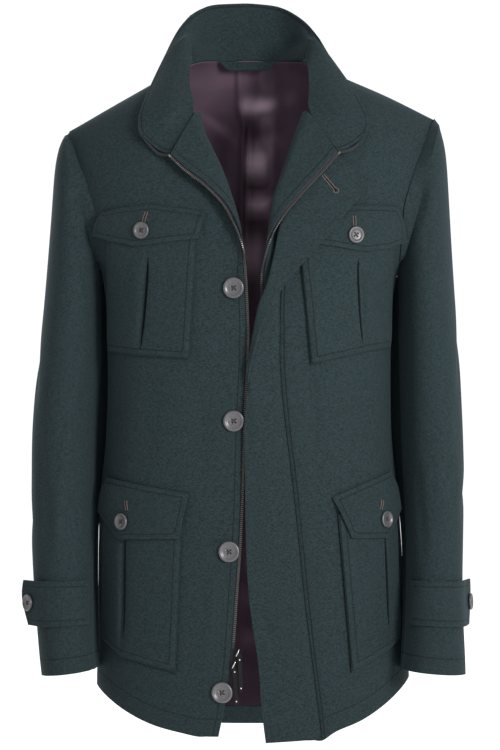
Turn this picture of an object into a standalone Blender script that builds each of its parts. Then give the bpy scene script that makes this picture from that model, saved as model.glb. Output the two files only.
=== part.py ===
"""Field jacket, worn open: wool fronts, back, sleeves, stand collar, storm flap, bellows pockets and zip.

Frame: millimetres in the tables, metres in the meshes. +Z is up, the fronts face -Y, the wearer's left is +X.
The origin lies between the shoulders, level with the root of the neck. "Out" is the distance from the
centre plane towards a piece's own side, so one table column serves a left and a right piece.
"""
import math

import bmesh
import bpy
import numpy as np
from mathutils import Matrix, Vector

# ---------------------------------------------------------------- driving dimensions, millimetres
MM = 0.001
CLOTH = 2.0              # wool flannel, one layer
DOUBLE = 2.6             # two layers pressed together: flaps, straps, storm flap
COLLAR_CLOTH = 2.8
SATIN = 1.0
GAP = 0.35               # seam gap between neighbouring pieces
PATCH_GAP = 0.8          # under a patch, whose faces cut the corners of the panel's curve
CENTRE_GAP = 0.3         # each back half's distance from the centre plane
SHOULDER_GAP = 0.35      # each panel's distance from the shoulder seam's plane
UNDERARM_Z = -232.0
SHARP = 2.4              # superellipse exponent of the body's plan
CHEST_ROUND = 2.3        # how fully the chest rounds over to the shoulder seam
NECK_ROUND = 1.45
BACK_ROUND = 2.6
NECK_HALF = 67.0         # half width of the neck at the shoulder seam
BACK_NECK_DEPTH = 70.0
BACK_CROWN_Z = 55.0
ROLL_LIFT = 5.0          # how far the rolled front edge stands off the chest
FRONT_BUTTON = 25.0
POCKET_BUTTON = 20.0
RIGHT, LEFT = -1, 1      # the wearer's sides
FRONT, BACK = -1, 1


def table(names, rows):
    """Named columns from a short table of rows."""
    columns = np.array(rows, dtype=float).T
    return dict(zip(names.split(), columns))


def read(data, column, key, at):
    """Smooth, overshoot-free reading of one column against another."""
    xs, ys = data[key], data[column]
    if xs[0] > xs[-1]:
        xs, ys = xs[::-1], ys[::-1]
    at = min(max(at, xs[0]), xs[-1])
    k = int(min(max(np.searchsorted(xs, at) - 1, 0), len(xs) - 2))
    steps = np.diff(ys) / np.diff(xs)

    def slope(j):
        if j == 0 or j == len(xs) - 1:
            return steps[min(j, len(steps) - 1)]
        if steps[j - 1] * steps[j] <= 0:
            return 0.0
        return 2 * steps[j - 1] * steps[j] / (steps[j - 1] + steps[j])

    span = xs[k + 1] - xs[k]
    t = (at - xs[k]) / span
    h00, h10 = 2 * t ** 3 - 3 * t ** 2 + 1, t ** 3 - 2 * t ** 2 + t
    h01, h11 = -2 * t ** 3 + 3 * t ** 2, t ** 3 - t ** 2
    return h00 * ys[k] + h10 * span * slope(k) + h01 * ys[k + 1] + h11 * span * slope(k + 1)


# the body below the underarm, a row for each level
BODY = table("z halfRight halfLeft front back", [
    (-800, 186, 199, 137, 133),
    (-715, 184, 196, 137, 133),
    (-650, 183, 192, 136, 131),
    (-580, 182, 188, 135, 130),
    (-495, 180, 182, 134, 129),
    (-446, 174, 176, 135, 129),
    (-361, 171, 174, 137, 130),
    (-263, 173, 176, 140, 134),
    (-232, 178, 182, 140, 136)])

# the yoke above the underarm: climb 0 at the underarm, 90 at the shoulder seam
YOKE = table("climb halfRight halfLeft armhole", [
    (0, 178, 182, 90),
    (4, 188, 192, 70.5),
    (10, 197, 201, 65),
    (20, 207, 211, 60.6),
    (30, 214, 219, 61.8),
    (43, 219, 225, 66),
    (58, 220.5, 227.5, 72),
    (80, 218.5, 226, 84),
    (90, 218, 226, 90)])

# shoulder seam, from the neck out to the tip
SHOULDER = table("out zRight zLeft", [
    (0, 67, 62), (67, 29, 30), (116, 0, 7), (167, -29, -15), (218, -58, -40), (228, -63, -45)])

# front edge of each half: the crest where the cloth rolls, and the zip line beyond it
EDGE_RIGHT = table("z crest zip zipZ turn lift", [
    (-41, 58, 94, -97, 1, 11), (-63, 53, 79, -112, 1, 11), (-88, 42, 58, -127, 1, 12),
    (-114, 30, 44, -140, 1, 12), (-142, 20, 31, -154, 1, 13), (-163, 14, 21, -171, 1, 15),
    (-184, 9.5, 13, -188, .9, 15),
    (-207, 9.5, 6.5, -208, .6, 12), (-232, 12, 2.5, -232, .3, 7), (-262, 14, 0, -262, .1, 3),
    (-302, 14, -1.8, -302, 0, 0), (-349, 15, -.7, -349, 0, 0), (-408, 18, 2.3, -408, 0, 0),
    (-527, 22, 5.8, -527, 0, 0), (-621, 28, 12, -621, 0, 0), (-716, 35, 19, -716, 0, 0),
    (-785, 47, 31, -785, 0, 0)])
EDGE_LEFT = table("z crest zip zipZ turn lift", [
    (-41, 67, 108, -94, 1, 12), (-63, 58, 91, -114, 1, 12.5), (-83, 51, 75, -131, 1, 13.5),
    (-114, 41, 54.5, -154, 1, 14), (-142, 31, 40, -173, 1, 15), (-163, 27, 31, -190, 1, 16),
    (-184, 27, 25.5, -204, .8, 15), (-207, 30, 20, -222, .5, 11), (-232, 32, 15.5, -240, .25, 6),
    (-262, 33, 16, -265, .1, 2), (-302, 35, 20, -302, 0, 0), (-349, 36, 21, -349, 0, 0),
    (-408, 40, 25, -408, 0, 0), (-527, 48, 33, -527, 0, 0), (-621, 56, 41, -621, 0, 0),
    (-716, 67, 52, -716, 0, 0), (-789, 76, 61, -789, 0, 0)])
# neck seam between the shoulder seam and the crest
NECK = table("z right left", [(29, 67, 68), (5, 68, 70), (-12, 66, 70.5), (-27, 63, 69.5), (-41, 58, 67)])

# collar, a row for each station round the neck: where 0-1 back neck, 1-2 side, 2-3 along the lapel's top
COLLAR_RIGHT = table("where topOut topY topZ midOut midY midZ", [
    (0, 0, 86, 107, 0, 80, 70), (.35, 30, 84, 106, 29, 78, 69), (.65, 57, 71, 100, 54, 64, 67),
    (.85, 80, 40, 79, 67, 32, 63), (1, 99, 6, 41, 77, 2, 58), (1.35, 114, -24, 6, 89, -26, 29),
    (1.7, 125, -66, -24, 93, -68, -6), (2, 131, -86, -44, 95, -98, -38),
    (2.5, 131.5, -97, -59, 104, -106, -66), (3, 126, -104, -69.5, 108, -110, -86)])
COLLAR_LEFT = table("where topOut topY topZ midOut midY midZ", [
    (0, 0, 86, 107, 0, 80, 70), (.35, 30, 83, 104, 30, 78, 69), (.65, 55, 66, 93, 55, 62, 65),
    (.85, 82, 28, 66, 70, 28, 59), (1, 99, 2, 36, 81, 0, 54), (1.35, 120, -32, 3, 94, -28, 27),
    (1.7, 134, -70, -23, 100, -70, -7), (2, 143, -84, -42, 106, -97, -38),
    (2.5, 144.5, -94, -57, 117, -106, -62), (3, 140, -102, -68, 124, -109, -81)])

# sleeves, a row for each section: the outermost and innermost points, half depth and middle
SLEEVE_RIGHT = table("outX outZ inX inZ depth mid", [
    (226, -66, 178.6, -237, 72, 2), (234, -95, 178.8, -243, 78, 2), (238, -141, 179, -253, 80, 2),
    (242, -196, 179, -271, 80, 1), (248, -270, 179, -303, 78, -1), (255, -343, 179.5, -358, 74, -4),
    (261.5, -416, 183, -422, 70, -10), (262, -488, 184.5, -490, 66, -22), (261, -560, 186, -560, 62, -38),
    (256.5, -626, 186, -624, 58, -54), (251, -685, 185, -680, 56, -68), (247.5, -714, 182, -706, 55, -74)])
SLEEVE_LEFT = table("outX outZ inX inZ depth mid", [
    (233, -51, 183, -237, 72, 2), (240, -80, 183.2, -243, 78, 2), (243.5, -120, 183.4, -253, 80, 2),
    (247, -185, 183.4, -271, 80, 1), (252, -268, 183.5, -303, 78, -1), (257, -343, 184.5, -358, 74, -4),
    (260.5, -416, 186, -422, 70, -10), (261.5, -488, 189, -490, 66, -22), (260, -560, 191, -560, 62, -38),
    (258.5, -626, 190, -624, 58, -56), (260, -685, 187, -680, 57, -76), (260.5, -712, 184, -706, 56, -84)])
FRONT_SEAM = 148.0       # sleeve seams, degrees round from the outermost line towards the front
BACK_SEAM = 258.0

# storm flap on the wearer's left front, a row for each section: seam, crest and free edge, with their lifts
STORM = table("row seam seamZ seamLift crest crestZ crestLift free freeZ freeLift hairpin", [
    (0, 97, -83, 5, 110, -95, 6, 144, -132, 7, 0),
    (1, 83, -100, 5, 93, -110, 6.5, 128, -149, 11, 0),
    (2, 67, -119, 5, 78, -129, 8.5, 111.5, -168, 15.5, 0),
    (3, 53, -138, 5, 62, -149, 10.5, 94.5, -189, 16.5, 0),
    (4, 42, -159, 5, 46, -171, 12, 75, -211, 16.5, 0),
    (5, 38, -183, 4.5, 36, -192, 12.5, 59, -229.5, 16.5, .1),
    (6, 38, -207, 4, 31, -213, 13, 45, -247, 16, .35),
    (7, 39, -232, 4, 25.5, -235, 14, 34, -263, 17, .6),
    (8, 39, -253, 3.6, 20, -253, 14, 25, -279, 18, .9),
    (9, 38, -273, 3.4, 13, -270, 13, 18, -293, 18, 1),
    (10, 38, -296, 3.2, 7.5, -296, 11.5, 11.5, -310, 17, 1),
    (11, 38, -325, 3.2, 2.5, -325, 9, 5, -334, 14.5, 1),
    (12, 39, -352, 3.2, -1.5, -352, 7, 0, -356, 11, .6),
    (13, 44, -408, 3.2, 13, -408, 5.5, -3.5, -408, 4.5, 0),
    (14, 51, -465, 3.2, 20, -465, 4.5, -3.4, -465, 4.2, 0),
    (15, 58, -527, 3.2, 26, -527, 4, -3, -527, 4.2, 0),
    (16, 67.5, -621, 3.2, 34, -621, 4, 1.3, -621, 4.2, 0),
    (17, 76, -692, 3.2, 43, -692, 4, 12, -692, 4.2, 0),
    (18, 82.5, -743, 3.2, 50, -743, 4, 15.5, -743, 4.2, 0),
    (19, 87.6, -786, 3.2, 56, -788, 4, 21, -790, 4.2, 0)])

# patch pockets and flaps: corners as distance out and height, inner edge first
POCKETS = {
    "chest_right": dict(side=-1, top=[(60, -186), (117, -188), (167, -186)],
                        bottom=[(69, -336), (128, -332), (166, -327)], slit=(.5, .93)),
    "chest_left": dict(side=1, top=[(58, -186), (130, -190), (172, -186)],
                       bottom=[(75, -343), (137, -328), (169, -322)], slit=(.5, .9)),
    "lower_right": dict(side=-1, top=[(77, -515), (146, -515), (172, -512)],
                        bottom=[(85, -708), (149, -692), (173, -673)], slit=(.5, .93)),
    "lower_left": dict(side=1, top=[(106, -520), (160, -517), (175, -512)],
                       bottom=[(122, -709), (167, -684), (180, -672)], slit=(.5, .93))}
FLAPS = {
    "chest_right": dict(side=-1, top=[(51, -162), (116, -153), (150, -156), (174, -160)],
                        bottom=[(58, -194), (129, -201), (158, -194), (180, -186)]),
    "chest_left": dict(side=1, top=[(52, -163), (127, -153.6), (155, -153), (178, -154)],
                       bottom=[(57, -197), (136, -207), (163, -202), (183.5, -193)]),
    "lower_right": dict(side=-1, top=[(70, -495.5), (122, -487), (148, -482), (168, -478)],
                        bottom=[(80, -549), (122, -550.5), (149, -551), (173, -520)]),
    "lower_left": dict(side=1, top=[(99.4, -500), (126, -489), (150, -479), (170, -471)],
                       bottom=[(120, -549), (144, -550), (163, -550), (177, -517)])}

parts = bpy.data.collections.new("field_jacket")
cutters = bpy.data.collections.new("cutters")


# ---------------------------------------------------------------- the body's surface
def side_name(side):
    return "Left" if side == LEFT else "Right"


def ridge(side, out, face):
    z = read(SHOULDER, "z" + side_name(side), "out", out)
    if face == BACK and out < NECK_HALF:
        z = 29 + (BACK_CROWN_Z - 29) * (1 - (out / NECK_HALF) ** 2)
    return z


def fullness(out, face):
    if face == BACK:
        return BACK_ROUND
    return NECK_ROUND + (CHEST_ROUND - NECK_ROUND) * min(out / 140.0, 1.0) ** 1.2


def hem_z(side, face, angle):
    """The hem dips at front and back and rises to the side seams."""
    middle = -792 if face == BACK else (-789 if side == LEFT else -784)
    top = -720 if side == LEFT else -729
    return middle + (top - middle) * math.sin(math.radians(angle)) ** 2.4


def body_point(side, face, angle, level):
    """Angle 0 at the centre line, 90 at the side; level -1 hem, 0 underarm, 1 shoulder seam."""
    a = math.radians(angle)
    across, ahead = max(math.sin(a), 0) ** (2 / SHARP), max(math.cos(a), 0) ** (2 / SHARP)
    depth_column = "back" if face == BACK else "front"
    if level <= 0:
        z = UNDERARM_Z + level * (UNDERARM_Z - hem_z(side, face, angle))
        out = read(BODY, "half" + side_name(side), "z", z) * across
        return np.array((side * out, face * read(BODY, depth_column, "z", z) * ahead, z))
    climb = 90.0 * level
    out = read(YOKE, "half" + side_name(side), "climb", climb) * across
    full = fullness(out, face)
    c = math.radians(climb)
    z = UNDERARM_Z + (ridge(side, out, face) - UNDERARM_Z) * math.sin(c) ** (2 / full)
    depth = BODY[depth_column][-1] * ahead * max(math.cos(c), 0) ** (2 / full)
    apart = SHOULDER_GAP * level * (1 + (angle / 90) ** 8)
    return np.array((side * out, face * (depth + apart), z))


def locate(side, out, z, face=FRONT):
    """Angle and level of the body point at a distance out and a height."""
    if z <= UNDERARM_Z:
        half = read(BODY, "half" + side_name(side), "z", z)
        angle = math.degrees(math.asin(min(max(out, 0) / half, 1.0) ** (SHARP / 2)))
        return angle, -(UNDERARM_Z - z) / (UNDERARM_Z - hem_z(side, face, angle))
    full = fullness(out, face)
    rise = min((z - UNDERARM_Z) / (ridge(side, out, face) - UNDERARM_Z), 1.0)
    climb = math.degrees(math.asin(rise ** (full / 2)))
    half = read(YOKE, "half" + side_name(side), "climb", climb)
    angle = math.degrees(math.asin(min(max(out, 0) / half, 1.0) ** (SHARP / 2)))
    return angle, climb / 90.0


def on_body(side, out, z, lift=0.0, face=FRONT):
    """A point of the body's surface, moved out along its normal. Past the centre it mirrors across."""
    at_side, at_out = (side, out) if out >= 0 else (-side, -out)
    angle, level = locate(at_side, at_out, z, face)
    point = body_point(at_side, face, angle, level)
    if abs(out) < 1.0:
        point[0] = side * out
    step = 1.5
    nearer = body_point(at_side, face, max(angle - step, 0.01), level)
    further = body_point(at_side, face, min(angle + step, 89.9), level)
    lower = body_point(at_side, face, angle, level - 0.02)
    upper = body_point(at_side, face, angle, min(level + 0.02, 0.999))
    normal = np.cross(further - nearer, upper - lower)
    length = np.linalg.norm(normal)
    normal = normal / length if length > 1e-6 else np.array((0.0, face, 0.0))
    if normal[1] * face < 0:
        normal = -normal
    return point + normal * lift


def raised(side, out, z, lift):
    """A point of the front's surface moved straight forward, so its outline seen from the front stays."""
    return on_body(side, out, z) - np.array((0.0, lift, 0.0))


# ---------------------------------------------------------------- sheets and solids
def material(name, colour, roughness, metallic=0.0):
    mat = bpy.data.materials.new(name)
    mat.use_nodes = True
    shader = mat.node_tree.nodes["Principled BSDF"]
    shader.inputs["Base Color"].default_value = (*colour, 1.0)
    shader.inputs["Roughness"].default_value = roughness
    shader.inputs["Metallic"].default_value = metallic
    return mat


WOOL = (0.030, 0.045, 0.050)
SATIN_PLUM = (0.058, 0.040, 0.055)
HORN = (0.12, 0.12, 0.125)
GUNMETAL = (0.22, 0.22, 0.22)
BLACK = (0.010, 0.010, 0.011)


def add_object(name, mesh, colour, roughness, metallic=0.0):
    mesh.materials.append(material(name + "_finish", colour, roughness, metallic))
    obj = bpy.data.objects.new(name, mesh)
    parts.objects.link(obj)
    return obj


def place_grid(bm, points):
    """A grid moved to the given rows of points. Layers share its diagonals, so they never cross."""
    rows, columns = len(points), len(points[0])
    grid = bmesh.ops.create_grid(bm, x_segments=columns - 1, y_segments=rows - 1, size=1.0)
    for k, vert in enumerate(grid["verts"]):
        vert.co = np.asarray(points[k // columns][k % columns]) * MM
    faces = {face for vert in grid["verts"] for face in vert.link_faces}
    bmesh.ops.triangulate(bm, faces=sorted(faces, key=lambda face: face.index), quad_method="FIXED")


def sheet(name, blocks, thickness, colour, flip=False, roughness=0.9):
    """One cloth piece: grids joined along their shared edges, thickened behind the given surface."""
    bm = bmesh.new()
    for block in blocks:
        place_grid(bm, block)
    bmesh.ops.remove_doubles(bm, verts=bm.verts, dist=0.02 * MM)
    if flip:
        bmesh.ops.reverse_faces(bm, faces=bm.faces)
    mesh = bpy.data.meshes.new(name)
    bm.to_mesh(mesh)
    bm.free()
    mesh.shade_smooth()
    obj = add_object(name, mesh, colour, roughness)
    wall = obj.modifiers.new("wall", "SOLIDIFY")
    wall.thickness = thickness * MM
    wall.offset = -1.0
    return obj


def normals_of(points):
    """Unit normals of a grid of points, from the mean directions of the steps on either side."""
    grid = np.asarray(points, dtype=float)

    def direction(axis):
        step = np.diff(grid, axis=axis)
        step = step / np.maximum(np.linalg.norm(step, axis=2, keepdims=True), 1e-9)
        first, last = np.take(step, [0], axis), np.take(step, [-1], axis)
        return np.concatenate([first, step], axis) + np.concatenate([step, last], axis)

    normal = np.cross(direction(1), direction(0))
    return normal / np.maximum(np.linalg.norm(normal, axis=2, keepdims=True), 1e-9)


def hermite(p0, t0, p1, t1, t):
    return ((2 * t ** 3 - 3 * t ** 2 + 1) * p0 + (t ** 3 - 2 * t ** 2 + t) * t0
            + (-2 * t ** 3 + 3 * t ** 2) * p1 + (t ** 3 - t ** 2) * t1)


def spread(first, last, count):
    return [first + (last - first) * k / (count - 1) for k in range(count)]


# ---------------------------------------------------------------- fronts
ROLL_REACH = 14.0        # width of chest cloth that lifts into the roll
STACK = 4.0              # cloth thickness between the visible crest and the front's own outer face
TEETH = 4.5              # the zip's teeth stand this far beyond the cloth edge
FRONT_SPREAD = (.07, .2, .34, .48, .6, .72, .83, .92, 1.0)
LAPEL_LEVELS = (-41, -63, -88, -114, -142, -163, -184, -207, -222, -228, -231)
LOWER_LEVELS = (0, -.05, -.12, -.2, -.3, -.42, -.54, -.66, -.78, -.9, -1.0)
NECK_LEVELS = (14, -4, -22)
TOP_LEVEL = .999         # just short of the shoulder seam
NEAR_SEAM = .965
SIDE_ANGLE = 89.97       # just short of the side seam


def armhole_angle(level):
    """Where a panel ends at the side: the armhole above the underarm, the side seam below it."""
    return min(read(YOKE, "armhole", "climb", 90 * level), SIDE_ANGLE) if level > 0 else SIDE_ANGLE


def yoke_angle(side, out, level):
    """Angle at which a yoke row passes a distance out."""
    half = read(YOKE, "half" + side_name(side), "climb", 90 * level)
    return math.degrees(math.asin((out / half) ** (SHARP / 2)))


def edge_row(side, z):
    """One row's turned part from the cloth edge to the crest, then the cloth that rolls off the chest."""
    data = EDGE_LEFT if side == LEFT else EDGE_RIGHT
    turn, lift = read(data, "turn", "z", z), read(data, "lift", "z", z)
    crest_out = read(data, "crest", "z", z) + STACK * turn
    chest = on_body(side, crest_out + ROLL_REACH, z)
    crest = on_body(side, crest_out, z) + np.array((0, -ROLL_LIFT * turn, 0))
    edge = raised(side, read(data, "zip", "z", z), read(data, "zipZ", "z", z), lift)
    edge = edge - (edge - crest) / np.linalg.norm(edge - crest) * TEETH
    reach = crest - chest
    forward = np.array((0.0, -1.0, 0.0)) * turn + reach / np.linalg.norm(reach) * (1 - turn)
    away = edge - crest
    turned = [hermite(crest, forward * (5 + 9 * turn), edge, away, t) for t in (1.0, .7, .42, .2)]
    rolled = [hermite(chest, reach, crest, forward * 8, t) for t in (1.0, .6)]
    return turned + rolled + [chest]


def chest_row(side, angle_from, level):
    last = armhole_angle(level)
    return [body_point(side, FRONT, angle_from + (last - angle_from) * f, level) for f in FRONT_SPREAD]


def front_rows(side):
    """Rows from hem to lapel top over the whole width, and from there to the shoulder seam."""
    full, upper = [], []
    for level in LOWER_LEVELS[::-1]:
        z = UNDERARM_Z + level * (UNDERARM_Z - hem_z(side, FRONT, 10))
        edge = edge_row(side, z)
        angle, _ = locate(side, max(side * edge[-1][0], 0.0), z)
        full.append(edge + chest_row(side, angle, level))
    for z in LAPEL_LEVELS[::-1]:
        edge = edge_row(side, z)
        full.append(edge + chest_row(side, *locate(side, abs(edge[-1][0]), z)))
    upper.append(full[-1][4:])
    for z in NECK_LEVELS[::-1]:
        neck = read(NECK, side_name(side).lower(), "z", z) + STACK
        crest, chest = on_body(side, neck, z), on_body(side, neck + ROLL_REACH, z - 4)
        angle, level = locate(side, neck + ROLL_REACH, z - 4)
        upper.append([crest, (crest + chest) / 2, chest] + chest_row(side, angle, level))
    neck = read(NECK, side_name(side).lower(), "z", 29) + STACK
    for level in (NEAR_SEAM, TOP_LEVEL):
        angles = [yoke_angle(side, neck + step, level) for step in (0, ROLL_REACH / 2, ROLL_REACH)]
        upper.append([body_point(side, FRONT, angle, level) for angle in angles]
                     + chest_row(side, angles[-1], level))
    return full, upper


def outward(points, side):
    """Normals of a front grid, towards the outside of the garment."""
    return normals_of(points) * (1 if side == LEFT else -1)


def make_front(side, rows):
    full, upper = rows
    return sheet("front_" + side_name(side).lower(), [full, upper], CLOTH, WOOL, flip=(side == RIGHT))


FACING = 1.6
FACING_GAP = 0.5
ROLL_ROOM = 1.3          # further gap where the front edge is turned
FACING_COLUMNS = 8


def make_facing(side, rows):
    """Self cloth along the whole inside of the front edge, the face that the turned front shows."""
    full = np.asarray(rows[0])
    data = EDGE_LEFT if side == LEFT else EDGE_RIGHT
    turn = np.array([read(data, "turn", "z", row[4][2]) for row in full])
    depth = CLOTH + FACING + FACING_GAP + ROLL_ROOM * turn
    face = (full - outward(full, side) * depth[:, None, None])[:, :FACING_COLUMNS]
    return sheet("facing_" + side_name(side).lower(), [face], FACING, WOOL, flip=(side == LEFT))


# ---------------------------------------------------------------- storm flap
def make_storm_flap():
    rows = []
    for k in range(len(STORM["row"])):
        row = {name: column[k] for name, column in STORM.items()}
        seam, crest, free = (raised(LEFT, row[line], row[line + "Z"], row[line + "Lift"])
                             for line in ("seam", "crest", "free"))
        pin = row["hairpin"]
        span = free - seam
        forward = np.array((0.0, -1.0, 0.0)) * pin * 9 + span * (1 - pin) * .5
        first = [hermite(seam, crest - seam, crest, forward, t) for t in (0, .5, .85)]
        second = [hermite(crest, forward, free, free - crest, t) for t in (0, .25, .6, 1.0)]
        rows.append(first + second)
    return sheet("storm_flap", [rows[::-1]], DOUBLE, WOOL, flip=False)


# ---------------------------------------------------------------- back, lining and hem
BACK_SPREAD = (0, .07, .156, .26, .38, .5, .62, .74, .86, 1.0)
BACK_LEVELS = (-1.0, -.9, -.75, -.6, -.45, -.3, -.18, -.08, 0, .012, .025, .045, .1, .2, .32, .46, .6, .75, .88,
               NEAR_SEAM, 1.0)


def neck_curve(out):
    return BACK_NECK_DEPTH * max(1 - (min(out, NECK_HALF) / NECK_HALF) ** 2.5, 0) ** 0.4


def back_top_level(side, fraction):
    """Level at which a back column meets the neck seam, or the shoulder seam outside the neck."""
    low, high = .4, TOP_LEVEL
    for _ in range(30):
        level = (low + high) / 2
        point = body_point(side, BACK, armhole_angle(level) * fraction, level)
        if abs(point[0]) < NECK_HALF and point[1] < neck_curve(abs(point[0])):
            high = level
        else:
            low = level
    return low


def back_point(side, fraction, level):
    point = body_point(side, BACK, armhole_angle(level) * fraction, level)
    point[0] = side * max(side * point[0], CENTRE_GAP)
    return point


def back_rows(side, levels=BACK_LEVELS, spread_of=BACK_SPREAD):
    tops = [back_top_level(side, f) for f in spread_of]
    return [[back_point(side, f, level if level <= 0 else level * top) for f, top in zip(spread_of, tops)]
            for level in levels]


def make_back(side):
    return sheet("back_" + side_name(side).lower(), [back_rows(side)], CLOTH, WOOL, flip=(side == LEFT))


HEM_BAND = 22.0


def make_back_hem(side):
    """The turned-up hem inside the back."""
    rise = HEM_BAND / (UNDERARM_Z - hem_z(side, BACK, 0))
    rows = np.asarray(back_rows(side, (-1.0, -1.0 + rise / 2, -1.0 + rise)))
    face = rows - outward(rows, -side) * (CLOTH + GAP + FACING)
    return sheet("back_hem_" + side_name(side).lower(), [face], FACING, WOOL, flip=(side == RIGHT))


PLEAT = (2.5, 5.5, 5.0, .8, .3)  # how far the lining stands off across the centre-back pleat
LINING_SLACK = 3.4       # the lining hangs this much clear of the back
UPPER_YOKE = .55         # level above which the lining hangs freer
YOKE_SLACK = 2.5
PLEAT_TACK = .3          # share of the yoke's height over which the pleat opens below the neck
LINING_LEVELS = (-.75, -.45, -.18, 0, .2, .46, .6, .75, .88, NEAR_SEAM, 1.0)
LINING_SPREAD = (.02, .07, .156, .26, .44, .66, .86, .985)


def make_lining():
    """Satin back lining with its centre-back pleat, from side seam to side seam."""
    rise = (HEM_BAND + 1) / (UNDERARM_Z - hem_z(LEFT, BACK, 0))
    levels = (-1.0 + rise,) + LINING_LEVELS
    half = LINING_SPREAD
    left = np.asarray(back_rows(LEFT, levels, half))
    right = np.asarray(back_rows(RIGHT, levels, (0,) + half))
    rows = np.concatenate([right[:, ::-1], left], axis=1)
    depth = np.full(rows.shape[:2], CLOTH + GAP + SATIN + LINING_SLACK)
    centre = len(half)
    opening = np.array([min((1 - level) / PLEAT_TACK, 1) for level in levels])
    depth[np.array(levels) > UPPER_YOKE] += YOKE_SLACK
    for offset, extra in enumerate(PLEAT, -2):
        depth[:, centre + offset] += extra * opening
    rows = rows + normals_of(rows) * depth[..., None]
    return sheet("lining_back", [rows], SATIN, SATIN_PLUM, flip=False, roughness=.35)


# ---------------------------------------------------------------- collar
COLLAR_INSET = 3.0       # the collar starts this far inside the neck edge
COLLAR_LIFT = 3.2        # and this far above it, so its wall clears the front's
COLLAR_CORNER_LIFT = {2.0: 10.0, 2.25: 7.5}      # more where the lapel rolls over


def collar_base(side, rows):
    """Points along the neck seam: back neck, side, then the top of the lapel, each with its station."""
    full, upper = rows
    base = []
    for where in (0, .2, .4, .6, .78, .9):
        out = NECK_HALF * math.sin(math.radians(90 * where))
        low, high = .4, 1.0
        for _ in range(30):
            level = (low + high) / 2
            point = body_point(side, BACK, yoke_angle(side, out, level), level)
            low, high = (low, level) if point[1] < neck_curve(out) else (level, high)
        base.append((where, point + np.array((0, -.3, 1.0))))
    for where, row in zip((1.0, 1.06, 1.25, 1.5, 1.75), upper[:0:-1]):
        base.append((where, row[0] + np.array((-side * COLLAR_INSET, -COLLAR_LIFT / 5, COLLAR_LIFT))))
    up = np.asarray(full[-1]) - np.asarray(full[-2])
    stack = outward(full[-2:], side)[1] * -(CLOTH + GAP + FACING)
    for where, column in zip((2.0, 2.25, 2.5, 2.75, 3.0), (4, 3, 2, 1, 0)):
        above = COLLAR_CORNER_LIFT.get(where, COLLAR_LIFT)
        base.append((where, full[-1][column] + up[column] / np.linalg.norm(up[column]) * above + stack[column]))
    return base


COLLAR_HEIGHTS = (0, .14, .3, .5, .75, 1.0)


def collar_columns(side, rows):
    data = COLLAR_LEFT if side == LEFT else COLLAR_RIGHT
    columns = []
    for where, base in collar_base(side, rows):
        top = np.array([read(data, c, "where", where) for c in ("topOut", "topY", "topZ")])
        middle = np.array([read(data, c, "where", where) for c in ("midOut", "midY", "midZ")])
        top[0] *= side
        middle[0] *= side
        leave, arrive = (middle - base) * 2 - (top - base) / 2, (top - middle) * 1.6
        first = [hermite(base, leave / 1.4, middle, (top - base) / 2, t / .5) for t in COLLAR_HEIGHTS[:4]]
        second = [hermite(middle, (top - base) / 2, top, arrive / 1.4, (t - .5) / .5)
                  for t in COLLAR_HEIGHTS[4:]]
        columns.append(first + second)
    return columns


def make_collar(rows):
    right = collar_columns(RIGHT, rows[RIGHT])[::-1]
    left = collar_columns(LEFT, rows[LEFT])[1:]
    grid = np.asarray(right + left).transpose(1, 0, 2)
    sheet("collar", [grid], COLLAR_CLOTH, WOOL, flip=False)
    return grid


LOOP = ((0, 36), (5.5, 31), (11, 23.5))     # drop below the loop's top, and half width there
LOOP_TOP_Z = 32.0
LOOP_INSET = 13.5


def make_hanger_loop():
    """Self-cloth loop sewn under the collar seam at the centre back."""
    rows = []
    for drop, half in LOOP:
        rows.append([np.array((out, neck_curve(abs(out)) - LOOP_INSET, LOOP_TOP_Z - drop))
                     for out in spread(-half, half, 7)])
    return sheet("hanger_loop", [rows], CLOTH, WOOL, flip=True)


# ---------------------------------------------------------------- sleeves
for data in (SLEEVE_RIGHT, SLEEVE_LEFT):
    data["section"] = np.arange(1, len(data["outX"]) + 1, dtype=float)
SLEEVE_SHARP = 2.15
# how far the rear half of each section lies in against the body
TOE_IN = table("section toe", [
    (1, 0), (2, 4), (3, 10), (4, 18), (5, 25), (6, 28), (7, 30), (8, 15), (9, 6), (10, 1), (11, 0), (12, 0)])


def armhole_loop(side, count=48):
    """The armhole from the shoulder tip down the front to the underarm and up the back."""
    levels = spread(1.0, 0.0, count)
    front = [body_point(side, FRONT, min(read(YOKE, "armhole", "climb", 90 * v), 90), v) for v in levels]
    back = [body_point(side, BACK, min(read(YOKE, "armhole", "climb", 90 * v), 90), v) for v in levels[::-1]]
    return front, back


def along(points, fraction):
    """The point at a fraction of a polyline's length."""
    points = np.asarray(points)
    lengths = np.concatenate([[0], np.cumsum(np.linalg.norm(np.diff(points, axis=0), axis=1))])
    at = fraction * lengths[-1]
    return np.array([np.interp(at, lengths, points[:, axis]) for axis in range(3)])


LOOPS = {side: armhole_loop(side) for side in (RIGHT, LEFT)}


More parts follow.
